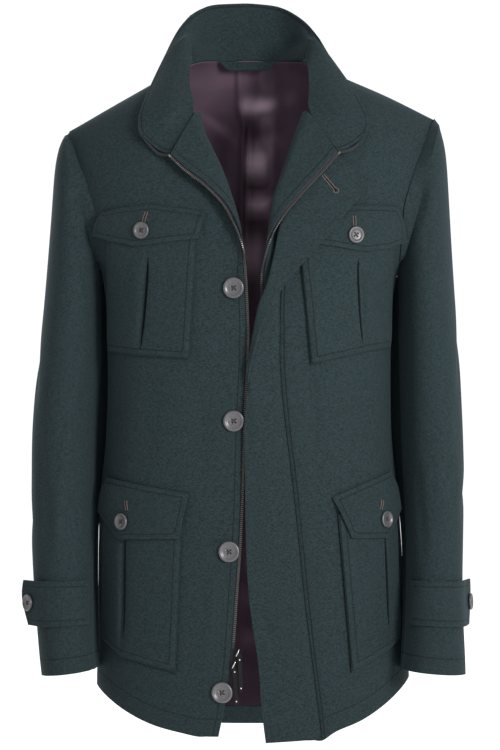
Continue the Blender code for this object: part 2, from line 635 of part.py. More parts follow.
def sleeve_point(side, angle, section):
    """Angle 0 outermost, 90 front, 180 innermost; section 0 the armhole, 12 the cuff's edge."""
    angle = angle % 360
    front, back = LOOPS[side]
    seam = along(front, angle / 180) if angle <= 180 else along(back, (angle - 180) / 180)
    seam = seam + np.array((side * 1.0, 0, 0))
    data = SLEEVE_LEFT if side == LEFT else SLEEVE_RIGHT
    at = max(section, 1.0)
    value = {name: read(data, name, "section", at) for name in ("outX", "outZ", "inX", "inZ", "depth", "mid")}
    a = math.radians(angle)
    c = math.copysign(abs(math.cos(a)) ** (2 / SLEEVE_SHARP), math.cos(a))
    s = math.copysign(abs(math.sin(a)) ** (2 / SLEEVE_SHARP), math.sin(a))
    out = (value["outX"] + value["inX"]) / 2 + (value["outX"] - value["inX"]) / 2 * c
    z = (value["outZ"] + value["inZ"]) / 2 + (value["outZ"] - value["inZ"]) / 2 * c
    out -= read(TOE_IN, "toe", "section", at) * max(-s, 0)     # the rear half lies in towards the body
    ring = np.array((side * out, value["mid"] - value["depth"] * s, z))
    if section >= 1:
        return ring
    return seam + (ring - seam) * section


SLEEVE_GAP = 0.4         # degrees on each side of a sleeve seam
ARMHOLE_GAP = 2.2        # further degrees at the armhole
SLEEVE_SECTIONS = (0, .5, 1, 2, 3, 4, 5, 6, 7, 8, 9, 10, 11, 12)


BESIDE_SEAM = 4.0        # degrees from a seam to the first column
UPPER_COLUMNS = [BACK_SEAM - 360 + BESIDE_SEAM, -80, -62, -44, -28, -13, 0, 13, 28, 46, 66, 86, 106, 126,
                 FRONT_SEAM - BESIDE_SEAM]
UNDER_COLUMNS = spread(FRONT_SEAM + BESIDE_SEAM, BACK_SEAM - BESIDE_SEAM, 9)


def make_sleeve(side, piece, columns):
    """Narrow columns beside the seams keep the walls square there; the armhole's folds need more room."""
    rows = []
    for section in SLEEVE_SECTIONS[::-1]:
        gap = SLEEVE_GAP + ARMHOLE_GAP * max(1 - section / 6, 0)
        angles = [columns[0] - BESIDE_SEAM + gap] + columns + [columns[-1] + BESIDE_SEAM - gap]
        rows.append([sleeve_point(side, angle, section) for angle in angles])
    name = "sleeve_%s_%s" % (piece, side_name(side).lower())
    return sheet(name, [rows], CLOTH, WOOL, flip=(side == LEFT))


def make_sleeves(side):
    make_sleeve(side, "upper", UPPER_COLUMNS)
    make_sleeve(side, "under", UNDER_COLUMNS)


# ---------------------------------------------------------------- patch pockets and flaps
POCKET_BELLOWS = 3.0


def along_line(line, u):
    """Point of a polyline of corners whose stretches share the range of u equally."""
    line = np.asarray(line, dtype=float)
    at = u * (len(line) - 1)
    k = min(int(at), len(line) - 2)
    return line[k] + (line[k + 1] - line[k]) * (at - k)


def patch_rows(side, top, bottom, us, vs, lift):
    rows = []
    for v in vs:
        row = []
        for u in us:
            out, z = along_line(top, u) * (1 - v) + along_line(bottom, u) * v
            row.append(on_body(side, out, z, lift(u, v)))
        rows.append(row)
    return rows


POCKET_US = (0, .03, .16, .3, .44, .5, .56, .7, .84, .97, 1)
POCKET_VS = (0, .12, .33, .54, .75, .94, 1)


def make_pocket(name, spec):
    """Bellows patch pocket: edges down on the panel, face raised, an inverted pleat down its middle."""
    def lift(u, v):
        edge = u in (0, 1) or v == 1
        pleat = u == spec["slit"][0] and v < spec["slit"][1]
        raised = 0 if edge or pleat else POCKET_BELLOWS * min(.4 + v * 3, 1)
        return CLOTH + PATCH_GAP + raised

    rows = patch_rows(spec["side"], spec["top"], spec["bottom"], POCKET_US, POCKET_VS, lift)
    return sheet("pocket_" + name, [rows], CLOTH, WOOL, flip=(spec["side"] == LEFT))


def flap_lift(v):
    """A flap lies on the panel at its seam and over the pocket below it."""
    return DOUBLE + PATCH_GAP + min(v / .45, 1.0) * (CLOTH + POCKET_BELLOWS + .6)


def make_flap(name, spec):
    rows = patch_rows(spec["side"], spec["top"], spec["bottom"], spread(0, 1, 10), (0, .22, .45, 1.0),
                      lambda u, v: flap_lift(v))
    return sheet("flap_" + name, [rows], DOUBLE, WOOL, flip=(spec["side"] == LEFT))


# ---------------------------------------------------------------- buttons
BUTTON_THICKNESS = 4.0
BUTTON_STEPS = 12
# shares of the radius and of the thickness
BUTTON_PROFILE = ((0, .62), (.6, .62), (.8, 1.0), (1.0, .6), (.82, 0), (0, 0))
FRONT_BUTTONS = {"second": (16.5, -252), "third": (16.8, -409.4), "fourth": (22.4, -564.3),
                 "fifth": (30.6, -730.7)}
HIDDEN_BUTTON = (58, -113)       # under the rolled edge
# on the flaps, with how far the flap's faces there cut inside its curve
FLAP_BUTTONS = {"chest_right": (122, -183.5, 0), "chest_left": (124, -188.5, .7),
                "lower_right": (144, -530, 0), "lower_left": (158, -528, 0)}


def make_button(name, seat, normal, diameter):
    """A turned button with a raised rim, its flat underside a seam gap above its seat."""
    mesh = bpy.data.meshes.new(name)
    profile = [(r * diameter / 2 * MM, 0, h * BUTTON_THICKNESS * MM) for r, h in BUTTON_PROFILE]
    mesh.from_pydata(profile, [(k, k + 1) for k in range(len(profile) - 1)], [])
    button = add_object(name, mesh, HORN, .35)
    turn = button.modifiers.new("turn", "SCREW")
    turn.steps = turn.render_steps = BUTTON_STEPS
    turn.use_merge_vertices = True
    turn.merge_threshold = 0.00005
    turn.use_normal_calculate = True
    direction = Vector(normal).normalized()
    button.location = (Vector(seat) + direction * GAP) * MM
    button.rotation_euler = direction.to_track_quat("Z", "Y").to_euler()
    return button


def front_spot(out, z):
    """A point of the right front beside its edge, with the surface's normal."""
    def point(at_out, at_z):
        row = np.asarray(edge_row(RIGHT, at_z))
        return np.array([np.interp(at_out, -row[:, 0], row[:, axis]) for axis in range(3)])

    across = point(out + 4, z) - point(out - 4, z)
    up = point(out, z + 6) - point(out, z - 6)
    normal = np.cross(across, up)
    normal = normal / np.linalg.norm(normal) * -np.sign(normal[1])
    here, reach = point(out, z), FRONT_BUTTON / 2
    around = [point(out + reach * math.cos(a), z + reach * math.sin(a)) for a in spread(0, math.tau, 13)]
    bow = max(np.dot(spot - here, normal) for spot in around)
    return here + normal * max(bow, 0), normal


def make_buttons():
    for name, (out, z) in FRONT_BUTTONS.items():
        make_button("button_front_" + name, *front_spot(out, z), FRONT_BUTTON)
    hidden = on_body(RIGHT, *HIDDEN_BUTTON)
    make_button("button_front_first", hidden, on_body(RIGHT, *HIDDEN_BUTTON, 1) - hidden, FRONT_BUTTON)
    for name, (out, z, inside) in FLAP_BUTTONS.items():
        side = FLAPS[name]["side"]
        seat = on_body(side, out, z, flap_lift(1) - inside)
        make_button("button_" + name, seat, on_body(side, out, z, flap_lift(1) + 1) - seat, POCKET_BUTTON)


# ---------------------------------------------------------------- cuff straps
STRAPS = {
    RIGHT: dict(top=9.62, bottom=10.46, leave=50, end=(272, -69), give=.2),
    LEFT: dict(top=9.62, bottom=10.46, leave=10, end=(270, -28), give=.8)}
STRAP_END = (14, 5, 0, 3)        # how far each line of the strap, bottom first, stops short of its tip
BUTTON_FROM_TIP = 15.0


def strap_point(side, angle, section, lift):
    """A point over the sleeve, moved away from the sleeve's axis."""
    here = sleeve_point(side, angle, section)
    around = sleeve_point(side, angle + 2, section) - sleeve_point(side, angle - 2, section)
    down = sleeve_point(side, angle, section + .1) - sleeve_point(side, angle, section - .1)
    normal = np.cross(around, down)
    normal = normal / np.linalg.norm(normal)
    centre = (sleeve_point(side, 90, section) + sleeve_point(side, 270, section)) / 2
    if np.dot(normal, here - centre) < 0:
        normal = -normal
    return here + normal * lift


def make_strap(side):
    """The strap is sewn in at the front seam, goes round the sleeve and ends free, giving under its button."""
    spec = STRAPS[side]
    lift = DOUBLE + PATCH_GAP
    rows = []
    for k, section in enumerate(spread(spec["bottom"], spec["top"], 4)):
        row = [strap_point(side, angle, section, lift) for angle in UPPER_COLUMNS[::-1] if angle > spec["leave"]]
        last = row[-1]
        end = np.array((side * spec["end"][0], spec["end"][1], last[2]))
        reach = end - last
        length = np.linalg.norm(reach)
        tangent = (row[-1] - row[-2]) / np.linalg.norm(row[-1] - row[-2])
        tip = last + reach * (length - STRAP_END[k]) / length
        row += [hermite(last, tangent * length * .8, tip, reach, t) for t in (.3, .65, 1.0)]
        rows.append(row)
    sheet("cuff_strap_" + side_name(side).lower(), [rows], DOUBLE, WOOL, flip=(side == RIGHT))
    upper, lower = np.asarray(rows[2]), np.asarray(rows[1])
    middle = (upper + lower) / 2
    whole = np.linalg.norm(np.diff(middle, axis=0), axis=1).sum()
    seat, before = (along(middle, 1 - (BUTTON_FROM_TIP + step) / whole) for step in (0, 8))
    normal = np.cross(seat - before, (upper - lower)[-2])
    normal = normal / np.linalg.norm(normal) * side * np.sign(normal[0])
    near = [along(np.asarray(row), 1 - (BUTTON_FROM_TIP + step) / whole)
            for row in rows for step in (-9, -4, 0, 5, 10)]
    bow = max(np.dot(spot - seat, normal) for spot in near)
    seat = seat + normal * (bow - spec["give"])
    make_button("button_cuff_" + side_name(side).lower(), seat, normal, POCKET_BUTTON)


# ---------------------------------------------------------------- zip
TAPE_LEVELS = (-680, -621, -574, -527, -468, -408, -349, -302, -262, -232) + LAPEL_LEVELS[-3::-1]
TAPE_SHOWS = 3.7
TAPE_THICKNESS = 1.4
COLLAR_TAPE_GAP = 2.2
TAPE_FOOT_Z = -705.5     # the tape runs down to the pin box
PIN_BOX = (-706, -718, -731)
STACK_MIDDLE = 2.05      # depth of the tape's middle under the front's outer face


def tape_rows(side, levels):
    """The zip's strip beyond the front edge, a pair of points for each level."""
    rows = []
    for z in levels:
        row, above = np.asarray(edge_row(side, z)), np.asarray(edge_row(side, z + 3))
        away = (row[0] - row[1]) / np.linalg.norm(row[0] - row[1])
        inward = np.cross(away, above[0] - row[0]) * side
        inward = inward / np.linalg.norm(inward)
        near = row[0] + away * 1.5 * GAP + inward * (STACK_MIDDLE - TAPE_THICKNESS / 2)
        rows.append([near, near + away * TAPE_SHOWS])
    return rows


def make_tape(side, collar):
    """Zip tape and teeth along the front edge and on up the collar's front edge."""
    rows = tape_rows(side, (TAPE_FOOT_Z,) + TAPE_LEVELS)
    column, inner = (collar[:, -1], collar[:, -2]) if side == LEFT else (collar[:, 0], collar[:, 1])
    shown = normals_of(collar)[:, -1 if side == LEFT else 0]
    for edge, beside, normal in zip(column, inner, shown):
        away = (edge - beside) / np.linalg.norm(edge - beside)
        near = edge + away * COLLAR_TAPE_GAP - normal * (COLLAR_CLOTH + TAPE_THICKNESS) / 2
        rows.append([near, near + away * TAPE_SHOWS])
    name = "zip_tape_" + side_name(side).lower()
    sheet(name, [rows], TAPE_THICKNESS, BLACK, flip=(side == LEFT), roughness=.6)


SLIDERS = {
    "upper": dict(middle=(-12.1, -685), hinge=(-10.4, -142.0, -683), hang=47.0, drift=2.5),
    "lower": dict(middle=(-16.5, -699), hinge=(-16.2, -139.2, -697), hang=49.0, drift=3.0)}
SLIDER_HALF = (4.9, 6.4)
PLATE_FRONT, PLATE_BACK = (-137.4, -135.4), (-133.0, -131.4)
PULL_WIDTH = 4.6
PULL_THICKNESS = 1.2
BARREL = 1.1
NECK_WIDTH = 3.0
EAR = 1.1


def prism(name, outline, direction, colour, roughness, metallic=0.0):
    """A closed outline of points pushed along one direction."""
    bm = bmesh.new()
    face = bm.faces.new([bm.verts.new(Vector(point) * MM) for point in outline])
    pushed = bmesh.ops.extrude_face_region(bm, geom=[face])
    moved = [item for item in pushed["geom"] if isinstance(item, bmesh.types.BMVert)]
    bmesh.ops.translate(bm, verts=moved, vec=Vector(direction) * MM)
    bmesh.ops.recalc_face_normals(bm, faces=bm.faces)
    mesh = bpy.data.meshes.new(name)
    bm.to_mesh(mesh)
    bm.free()
    return add_object(name, mesh, colour, roughness, metallic)


def join(obj, build):
    """Unite an object with a cutter made by a bmesh function."""
    bm = bmesh.new()
    build(bm)
    mesh = bpy.data.meshes.new(obj.name + "_join")
    bm.to_mesh(mesh)
    bm.free()
    cutter = bpy.data.objects.new(obj.name + "_join", mesh)
    cutter.hide_render = True
    cutter.display_type = "WIRE"
    cutters.objects.link(cutter)
    union = obj.modifiers.new("join", "BOOLEAN")
    union.operation = "UNION"
    union.object = cutter
    return cutter


def place_box(bm, low, high):
    cube = bmesh.ops.create_cube(bm, size=1.0)
    for vert in cube["verts"]:
        vert.co = [(a + b) / 2 * MM + co * (b - a) * MM for a, b, co in zip(low, high, vert.co)]


def make_slider(name, spec):
    """Two plates either side of the tape, bridged beyond its edge, with ears for the pull."""
    x, z = spec["middle"]
    left, right = x - SLIDER_HALF[0], x + SLIDER_HALF[0]
    foot = z - SLIDER_HALF[1]
    bridge = x + .5
    outline = [(left, PLATE_FRONT[0]), (right, PLATE_FRONT[0]), (right, PLATE_BACK[1]), (left, PLATE_BACK[1]),
               (left, PLATE_BACK[0]), (bridge, PLATE_BACK[0]), (bridge, PLATE_FRONT[1]), (left, PLATE_FRONT[1])]
    body = prism("zip_slider_" + name, [(px, py, foot) for px, py in outline], (0, 0, 2 * SLIDER_HALF[1]),
                 GUNMETAL, .35, 1.0)
    hx, hy, hz = spec["hinge"]

    def ears(bm):
        for near in (hx - NECK_WIDTH / 2 - GAP - EAR - .3, hx + NECK_WIDTH / 2 + GAP + .3):
            place_box(bm, (near, hy - BARREL - .3, hz - 2), (near + EAR, PLATE_FRONT[0] + .4, hz + 2))

    join(body, ears)


def make_pull(name, spec):
    """The tab hangs from its barrel, which turns between the slider's ears."""
    hx, hy, hz = spec["hinge"]
    hang, drift = spec["hang"], spec["drift"]
    neck, wide, thick = NECK_WIDTH / 2 - .3, PULL_WIDTH / 2, PULL_THICKNESS / 2
    shape = [(-neck, 0), (-neck, -3.4), (-wide, -4.4), (-wide, -hang + 1.5), (-wide + 1.2, -hang),
             (wide - 1.2, -hang), (wide, -hang + 1.5), (wide, -4.4), (neck, -3.4), (neck, 0)]
    outline = [(px - pz / hang * drift, -thick, pz) for px, pz in shape]
    pull = prism("zip_pull_" + name, outline, (0, PULL_THICKNESS, 0), BLACK, .5)
    pull.location = (hx * MM, hy * MM, hz * MM)

    def barrel(bm):
        ring = bmesh.ops.create_cone(bm, cap_ends=True, segments=10, radius1=BARREL * MM, radius2=BARREL * MM,
                                     depth=NECK_WIDTH * MM)
        bmesh.ops.rotate(bm, verts=ring["verts"], matrix=Matrix.Rotation(math.radians(90), 3, "Y"))

    join(pull, barrel).location = pull.location


def make_zip(collar):
    for side in (RIGHT, LEFT):
        make_tape(side, collar)
    sheet("zip_pin_box", [tape_rows(RIGHT, PIN_BOX[::-1])], 2.2, BLACK, flip=False, roughness=.5)
    for name, spec in SLIDERS.items():
        make_slider(name, spec)
        make_pull(name, spec)


# ---------------------------------------------------------------- start
for old in list(bpy.data.objects):
    bpy.data.objects.remove(old, do_unlink=True)
bpy.context.scene.collection.children.link(parts)
bpy.context.scene.collection.children.link(cutters)

fronts = {side: front_rows(side) for side in (RIGHT, LEFT)}
for wearer_side in (RIGHT, LEFT):
    make_front(wearer_side, fronts[wearer_side])
    make_facing(wearer_side, fronts[wearer_side])
    make_back(wearer_side)
    make_back_hem(wearer_side)
    make_sleeves(wearer_side)
make_storm_flap()
make_lining()
make_zip(make_collar(fronts))
make_hanger_loop()
for wearer_side in (RIGHT, LEFT):
    make_strap(wearer_side)
make_buttons()
for pocket_name in POCKETS:
    make_pocket(pocket_name, POCKETS[pocket_name])
    make_flap(pocket_name, FLAPS[pocket_name])
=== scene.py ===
import math

import bmesh
import bpy
import numpy as np
from mathutils import Matrix, Vector
from mathutils.bvhtree import BVHTree
from mathutils.kdtree import KDTree


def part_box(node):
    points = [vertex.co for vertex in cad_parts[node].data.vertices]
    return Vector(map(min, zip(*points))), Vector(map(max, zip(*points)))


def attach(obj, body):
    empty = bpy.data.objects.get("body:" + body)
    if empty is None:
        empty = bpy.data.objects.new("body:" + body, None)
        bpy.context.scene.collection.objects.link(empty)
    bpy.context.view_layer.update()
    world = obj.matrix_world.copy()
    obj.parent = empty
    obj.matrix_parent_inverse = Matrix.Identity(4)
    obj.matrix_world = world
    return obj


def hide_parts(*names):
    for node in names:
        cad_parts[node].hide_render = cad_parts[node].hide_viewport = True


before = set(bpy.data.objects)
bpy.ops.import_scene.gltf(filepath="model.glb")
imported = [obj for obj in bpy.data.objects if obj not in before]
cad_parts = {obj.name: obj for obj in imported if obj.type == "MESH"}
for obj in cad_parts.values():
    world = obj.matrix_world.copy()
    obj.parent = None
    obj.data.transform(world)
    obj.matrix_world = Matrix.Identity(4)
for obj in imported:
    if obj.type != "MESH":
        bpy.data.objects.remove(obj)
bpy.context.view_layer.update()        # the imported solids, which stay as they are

mm = 0.001
print("stage: frame loaded")


# camera, light and floor
studio = {
    "cameraPlace": (0.00244, -4.5, -0.355),
    "lens": 177.05,
    "frameHeight": 36.0,
    "clipEnd": 60.0,
    "floorZ": -1.5,
    "floorSize": 15.0,
    "floorColour": "#f6f6f6",
    "floorGlow": 0.3,
    "worldColour": "#ffffff",
    "worldStrength": 1.05,
    "lights": {
        "key": {"place": (2.5, -3.5, 0.5), "aim": (0, 0, -0.35), "size": 1.5, "power": 262.0},
        "fill": {"place": (-1.5, -3.8, 0.9), "aim": (0, 0, -0.4), "size": 2.2, "power": 8.0},
        "back": {"place": (-1.2, 3.6, 1.2), "aim": (0, 0, -0.4), "size": 2.2, "power": 60.0},
    },
}


def linearColour(hexCode):
    channels = [int(hexCode[k:k + 2], 16) / 255 for k in (1, 3, 5)]
    return tuple(c / 12.92 if c <= 0.04045 else ((c + 0.055) / 1.055) ** 2.4 for c in channels) + (1.0,)


def addNode(tree, kind, settings=None, links=None):
    node = tree.nodes.new(kind)
    for key, value in (settings or {}).items():
        if isinstance(key, str) and key in node.bl_rna.properties:
            setattr(node, key, value)
        else:
            node.inputs[key].default_value = value
    for key, source in (links or {}).items():
        tree.links.new(source, node.inputs[key])
    return node


def newMaterial(name):
    material = bpy.data.materials.new(name)
    material.use_nodes = True
    material.node_tree.nodes.clear()
    return material, material.node_tree


def finishMaterial(tree, settings, links=None):
    shader = addNode(tree, "ShaderNodeBsdfPrincipled", settings, links)
    addNode(tree, "ShaderNodeOutputMaterial", links={"Surface": shader.outputs[0]})


def newObject(name, data):
    item = bpy.data.objects.new(name, data)
    bpy.context.scene.collection.objects.link(item)
    return item


def meshFrom(bm, name):
    mesh = bpy.data.meshes.new(name)
    bm.to_mesh(mesh)
    bm.free()
    return mesh


def meshObject(name, bm, materials, smooth=True):
    mesh = meshFrom(bm, name)
    for material in materials:
        mesh.materials.append(material)
    if smooth:
        mesh.shade_smooth()
    return newObject(name, mesh)


def evaluatedMesh(item):
    return bpy.data.meshes.new_from_object(item.evaluated_get(bpy.context.evaluated_depsgraph_get()))


def addLight(name, spec):
    light = bpy.data.lights.new(name, "AREA")
    light.shape = "DISK"
    light.size = spec["size"]
    light.energy = spec["power"]
    lamp = newObject(name, light)
    lamp.location = spec["place"]
    lamp.rotation_euler = (Vector(spec["aim"]) - Vector(spec["place"])).to_track_quat("-Z", "Y").to_euler()


def setStudio():
    view = bpy.data.cameras.new("camera")
    view.sensor_fit = "VERTICAL"
    view.sensor_height = studio["frameHeight"]
    view.lens = studio["lens"]
    view.clip_end = studio["clipEnd"]
    camera = newObject("camera", view)
    camera.location = studio["cameraPlace"]
    camera.rotation_euler = (math.radians(90), 0, 0)
    bpy.context.scene.camera = camera
    world = bpy.data.worlds.new("studio")
    world.use_nodes = True
    background = world.node_tree.nodes["Background"]
    background.inputs["Color"].default_value = linearColour(studio["worldColour"])
    background.inputs["Strength"].default_value = studio["worldStrength"]
    bpy.context.scene.world = world
    bpy.context.scene.view_settings.view_transform = "Standard"
    for name, spec in studio["lights"].items():
        addLight(name, spec)
    material, tree = newMaterial("paintedStudioFloor")          # matt paint, even and pale
    paint = linearColour(studio["floorColour"])
    finishMaterial(tree, {"Base Color": paint, "Roughness": 0.9, "Specular IOR Level": 0.1,
                          "Emission Color": paint, "Emission Strength": studio["floorGlow"]})
    bm = bmesh.new()
    bmesh.ops.create_grid(bm, x_segments=1, y_segments=1, size=studio["floorSize"])
    bmesh.ops.translate(bm, verts=bm.verts, vec=(0, 0, studio["floorZ"]))
    floor = meshObject("floor", bm, [material])


# small parts of the materials: each gives back the socket that the next one takes
def noiseField(tree, place, scale, detail, rough=0.5):
    return addNode(tree, "ShaderNodeTexNoise", {"Scale": scale, "Detail": detail, "Roughness": rough},
                   {"Vector": place}).outputs["Fac"]


def attributeField(tree, name):
    return addNode(tree, "ShaderNodeAttribute", {"attribute_name": name}).outputs["Fac"]


def spread(tree, value, start, end, low, high, kind="LINEAR"):
    return addNode(tree, "ShaderNodeMapRange", {
        "interpolation_type": kind, "From Min": start, "From Max": end, "To Min": low, "To Max": high},
        {"Value": value}).outputs[0]


def reckon(tree, operation, *values):
    numbers = {k: value for k, value in enumerate(values) if isinstance(value, float)}
    sources = {k: value for k, value in enumerate(values) if not isinstance(value, float)}
    return addNode(tree, "ShaderNodeMath", {"operation": operation, **numbers}, sources).outputs[0]


def mixed(tree, first, second, share):
    settings, links = {"data_type": "RGBA"}, {0: share}
    for key, colour in ((6, first), (7, second)):
        if isinstance(colour, str):
            settings[key] = linearColour(colour)
        else:
            links[key] = colour
    return addNode(tree, "ShaderNodeMix", settings, links).outputs[2]


def stretched(tree, place, scaleZ, degrees=0.0):
    return addNode(tree, "ShaderNodeMapping", {"Rotation": (0.0, math.radians(degrees), 0.0),
                                               "Scale": (1.0, 1.0, scaleZ)}, {"Vector": place}).outputs[0]


def bumpFrom(tree, height, strength, distanceMm):
    return addNode(tree, "ShaderNodeBump", {"Strength": strength, "Distance": distanceMm * mm},
                   {"Height": height}).outputs[0]


# wool melton: short raised nap, a melange of teal, blue and brown fibres, no weave to be seen
wool = {
    "base": "#1a2223",
    "blueFibre": ("#1f2e33", 0.42, 0.72, 0.95),     # colour, noise where it starts and is full, its most
    "brownFibre": ("#2b2b25", 0.53, 0.75, 0.65),
    "darkFibre": ("#111718", 0.5, 0.25, 0.85),
    "fleckMm": 3.0,                                 # drawn coarser than the real fibres, which would not show
    "castFiner": 1.3,
    "fleckSlant": 38,
    "fleckLong": 1.7,
    "napMm": 1.3,
    "napCoarser": 2.0,                              # drawn this many times coarser than the real nap
    "napHeightMm": 0.35,
    # painted shade: stitch grooves and marked hollows darken towards this colour
    "woolShadeColour": "#05080a",
    "grooveWidthMm": 1.1,
    "grooveShade": 0.55,
    "grooveDepth": 3.0,
    "shadeZ": (-0.3, -0.75),                        # painted shade: the cloth darkens between these heights
    "lowShade": 0.88,
    "sheen": 0.09,
    "sheenTint": "#7d97a3",
}


def stitchGroove(tree, name):
    apart = reckon(tree, "ABSOLUTE", attributeField(tree, name))
    return spread(tree, apart, 0.0, wool["grooveWidthMm"], 1.0, 0.0, "SMOOTHSTEP")


def woolMaterial(name, tone):
    material, tree = newMaterial(name)
    place = addNode(tree, "ShaderNodeTexCoord").outputs["Object"]
    slant = stretched(tree, place, wool["fleckLong"], wool["fleckSlant"])
    fleck = noiseField(tree, slant, 1000 / wool["fleckMm"], 3.0, 0.7)
    cast = noiseField(tree, place, 1000 * wool["castFiner"] / wool["fleckMm"], 2.0, 0.6)
    colour = wool["base"]
    for fibre, field in (("blueFibre", fleck), ("brownFibre", cast), ("darkFibre", fleck)):
        tint, start, end, most = wool[fibre]
        colour = mixed(tree, colour, tint, spread(tree, field, start, end, 0.0, most))
    # painted shade in the stitch grooves and in marked hollows; the bump below also sinks the grooves
    groove = reckon(tree, "MAXIMUM", stitchGroove(tree, "rowA"), stitchGroove(tree, "rowB"))
    grooveShading = reckon(tree, "MULTIPLY", groove, wool["grooveShade"])
    shadeShare = reckon(tree, "MAXIMUM", grooveShading, attributeField(tree, "paintedShade"))
    colour = mixed(tree, colour, wool["woolShadeColour"], shadeShare)
    # painted shade: the cloth is painted darker towards the bottom
    z = addNode(tree, "ShaderNodeSeparateXYZ", None, {"Vector": place}).outputs["Z"]
    shade = spread(tree, z, *wool["shadeZ"], tone, tone * wool["lowShade"])
    scaled = addNode(tree, "ShaderNodeVectorMath", {"operation": "SCALE"}, {0: colour, "Scale": shade})
    nap = noiseField(tree, place, 1000 / (wool["napMm"] * wool["napCoarser"]), 3.0, 0.75)
    relief = reckon(tree, "MULTIPLY_ADD", groove, -wool["grooveDepth"], nap)
    finishMaterial(tree, {
        "Roughness": 0.95, "Specular IOR Level": 0.08, "Sheen Weight": wool["sheen"], "Sheen Roughness": 0.45,
        "Sheen Tint": linearColour(wool["sheenTint"])},
        {"Base Color": scaled.outputs[0], "Normal": bumpFrom(tree, relief, 0.6, wool["napHeightMm"])})
    return material


# viscose satin: smooth dusky purple weave that shines softly along its folds, with painted highlights and
# painted shade where the lining is marked
satin = {
    "base": "#3a2f38",
    "light": "#4b3e48",
    "paintedHighlight": "#b09cab",
    "satinShadeColour": "#040204",
    "shine": "#c79fc0",
    "roughness": 0.42,
    "roughDeep": 0.8,
    "cloudMm": 40.0,
    "threadMm": 1.4,                                # drawn coarser than the real thread, which would not show
    "threadLong": 0.12,
    "threadHeightMm": 0.1,
}


def satinMaterial(name):
    material, tree = newMaterial(name)
    place = addNode(tree, "ShaderNodeTexCoord").outputs["Object"]
    paintedShade = attributeField(tree, "paintedShade")
    cloud = noiseField(tree, place, 1000 / satin["cloudMm"], 2.0)
    colour = mixed(tree, satin["base"], satin["light"], cloud)
    # painted highlights where the lining is marked with shine
    colour = mixed(tree, colour, satin["paintedHighlight"], attributeField(tree, "shine"))
    # painted shade where the lining is marked dark
    colour = mixed(tree, colour, satin["satinShadeColour"], paintedShade)
    thread = noiseField(tree, stretched(tree, place, satin["threadLong"]), 1000 / satin["threadMm"], 1.0)
    dulled = spread(tree, paintedShade, 0.0, 1.0, satin["roughness"], satin["roughDeep"])
    finishMaterial(tree, {"Specular IOR Level": 0.5, "Specular Tint": linearColour(satin["shine"])},
                   {"Base Color": colour, "Roughness": dulled,
                    "Normal": bumpFrom(tree, thread, 0.12, satin["threadHeightMm"])})
    return material


# two close tones in a fine grain; without a gloss it is a metal
def plainMaterial(name, first, second, grainMm, rough, gloss=None, bumpMm=0.0):
    material, tree = newMaterial(name)
    place = addNode(tree, "ShaderNodeTexCoord").outputs["Object"]
    grain = noiseField(tree, place, 1000 / grainMm, 3.0, 0.6)
    links = {"Base Color": mixed(tree, first, second, grain)}
    if bumpMm:
        links["Normal"] = bumpFrom(tree, grain, 0.5, bumpMm)
    surface = {"Metallic": 1.0} if gloss is None else {"Specular IOR Level": gloss}
    finishMaterial(tree, {"Roughness": rough, **surface}, links)
    return material


meltonCloth = woolMaterial("meltonCloth", 0.91)             # dull and soft, with a faint fleck
paintedLightHemCloth = woolMaterial("meltonWithPaintedLight", 1.8)           # the hem's inner band: the same cloth painted paler, painted light on a band that lies in shade
satinLining = satinMaterial("viscoseSatin")                 # long soft highlights on the folds, partly painted
# cloudy, softly polished
greyHorn = plainMaterial("polishedGreyHorn", "#2f2f31", "#403f41", 5.0, 0.35, 0.45)
# a shade under the cloth
sewingThread = plainMaterial("polyesterThread", "#0e1416", "#171e21", 0.8, 0.7, 0.2)
# dull cross on the horn
brownThread = plainMaterial("brownButtonThread", "#231b18", "#332824", 0.8, 0.7, 0.2)
# pale edge, soft shine
silkTwist = plainMaterial("taupeSilkTwist", "#463c39", "#5a4f4b", 1.0, 0.6, 0.3)
# worn glint on the teeth
agedNickel = plainMaterial("agedNickelPlate", "#494644", "#625e5b", 3.0, 0.38)
# flat black, fine ribs
wovenTape = plainMaterial("wovenZipTape", "#15181a", "#24282a", 0.9, 0.85, 0.15, 0.15)
# sharp glint of the rivets
brightSteel = plainMaterial("brightSteel", "#9a9a9c", "#b4b4b6", 2.0, 0.25)
# deep black, dull gleam; also the painted shade in the buttonholes' slits and eyes
blackEnamelAndPaintedShade = plainMaterial("blackEnamelAndPaintedShade", "#040405", "#0a0a0b", 1.5, 0.45, 0.12, 0.08)
print("stage: materials")
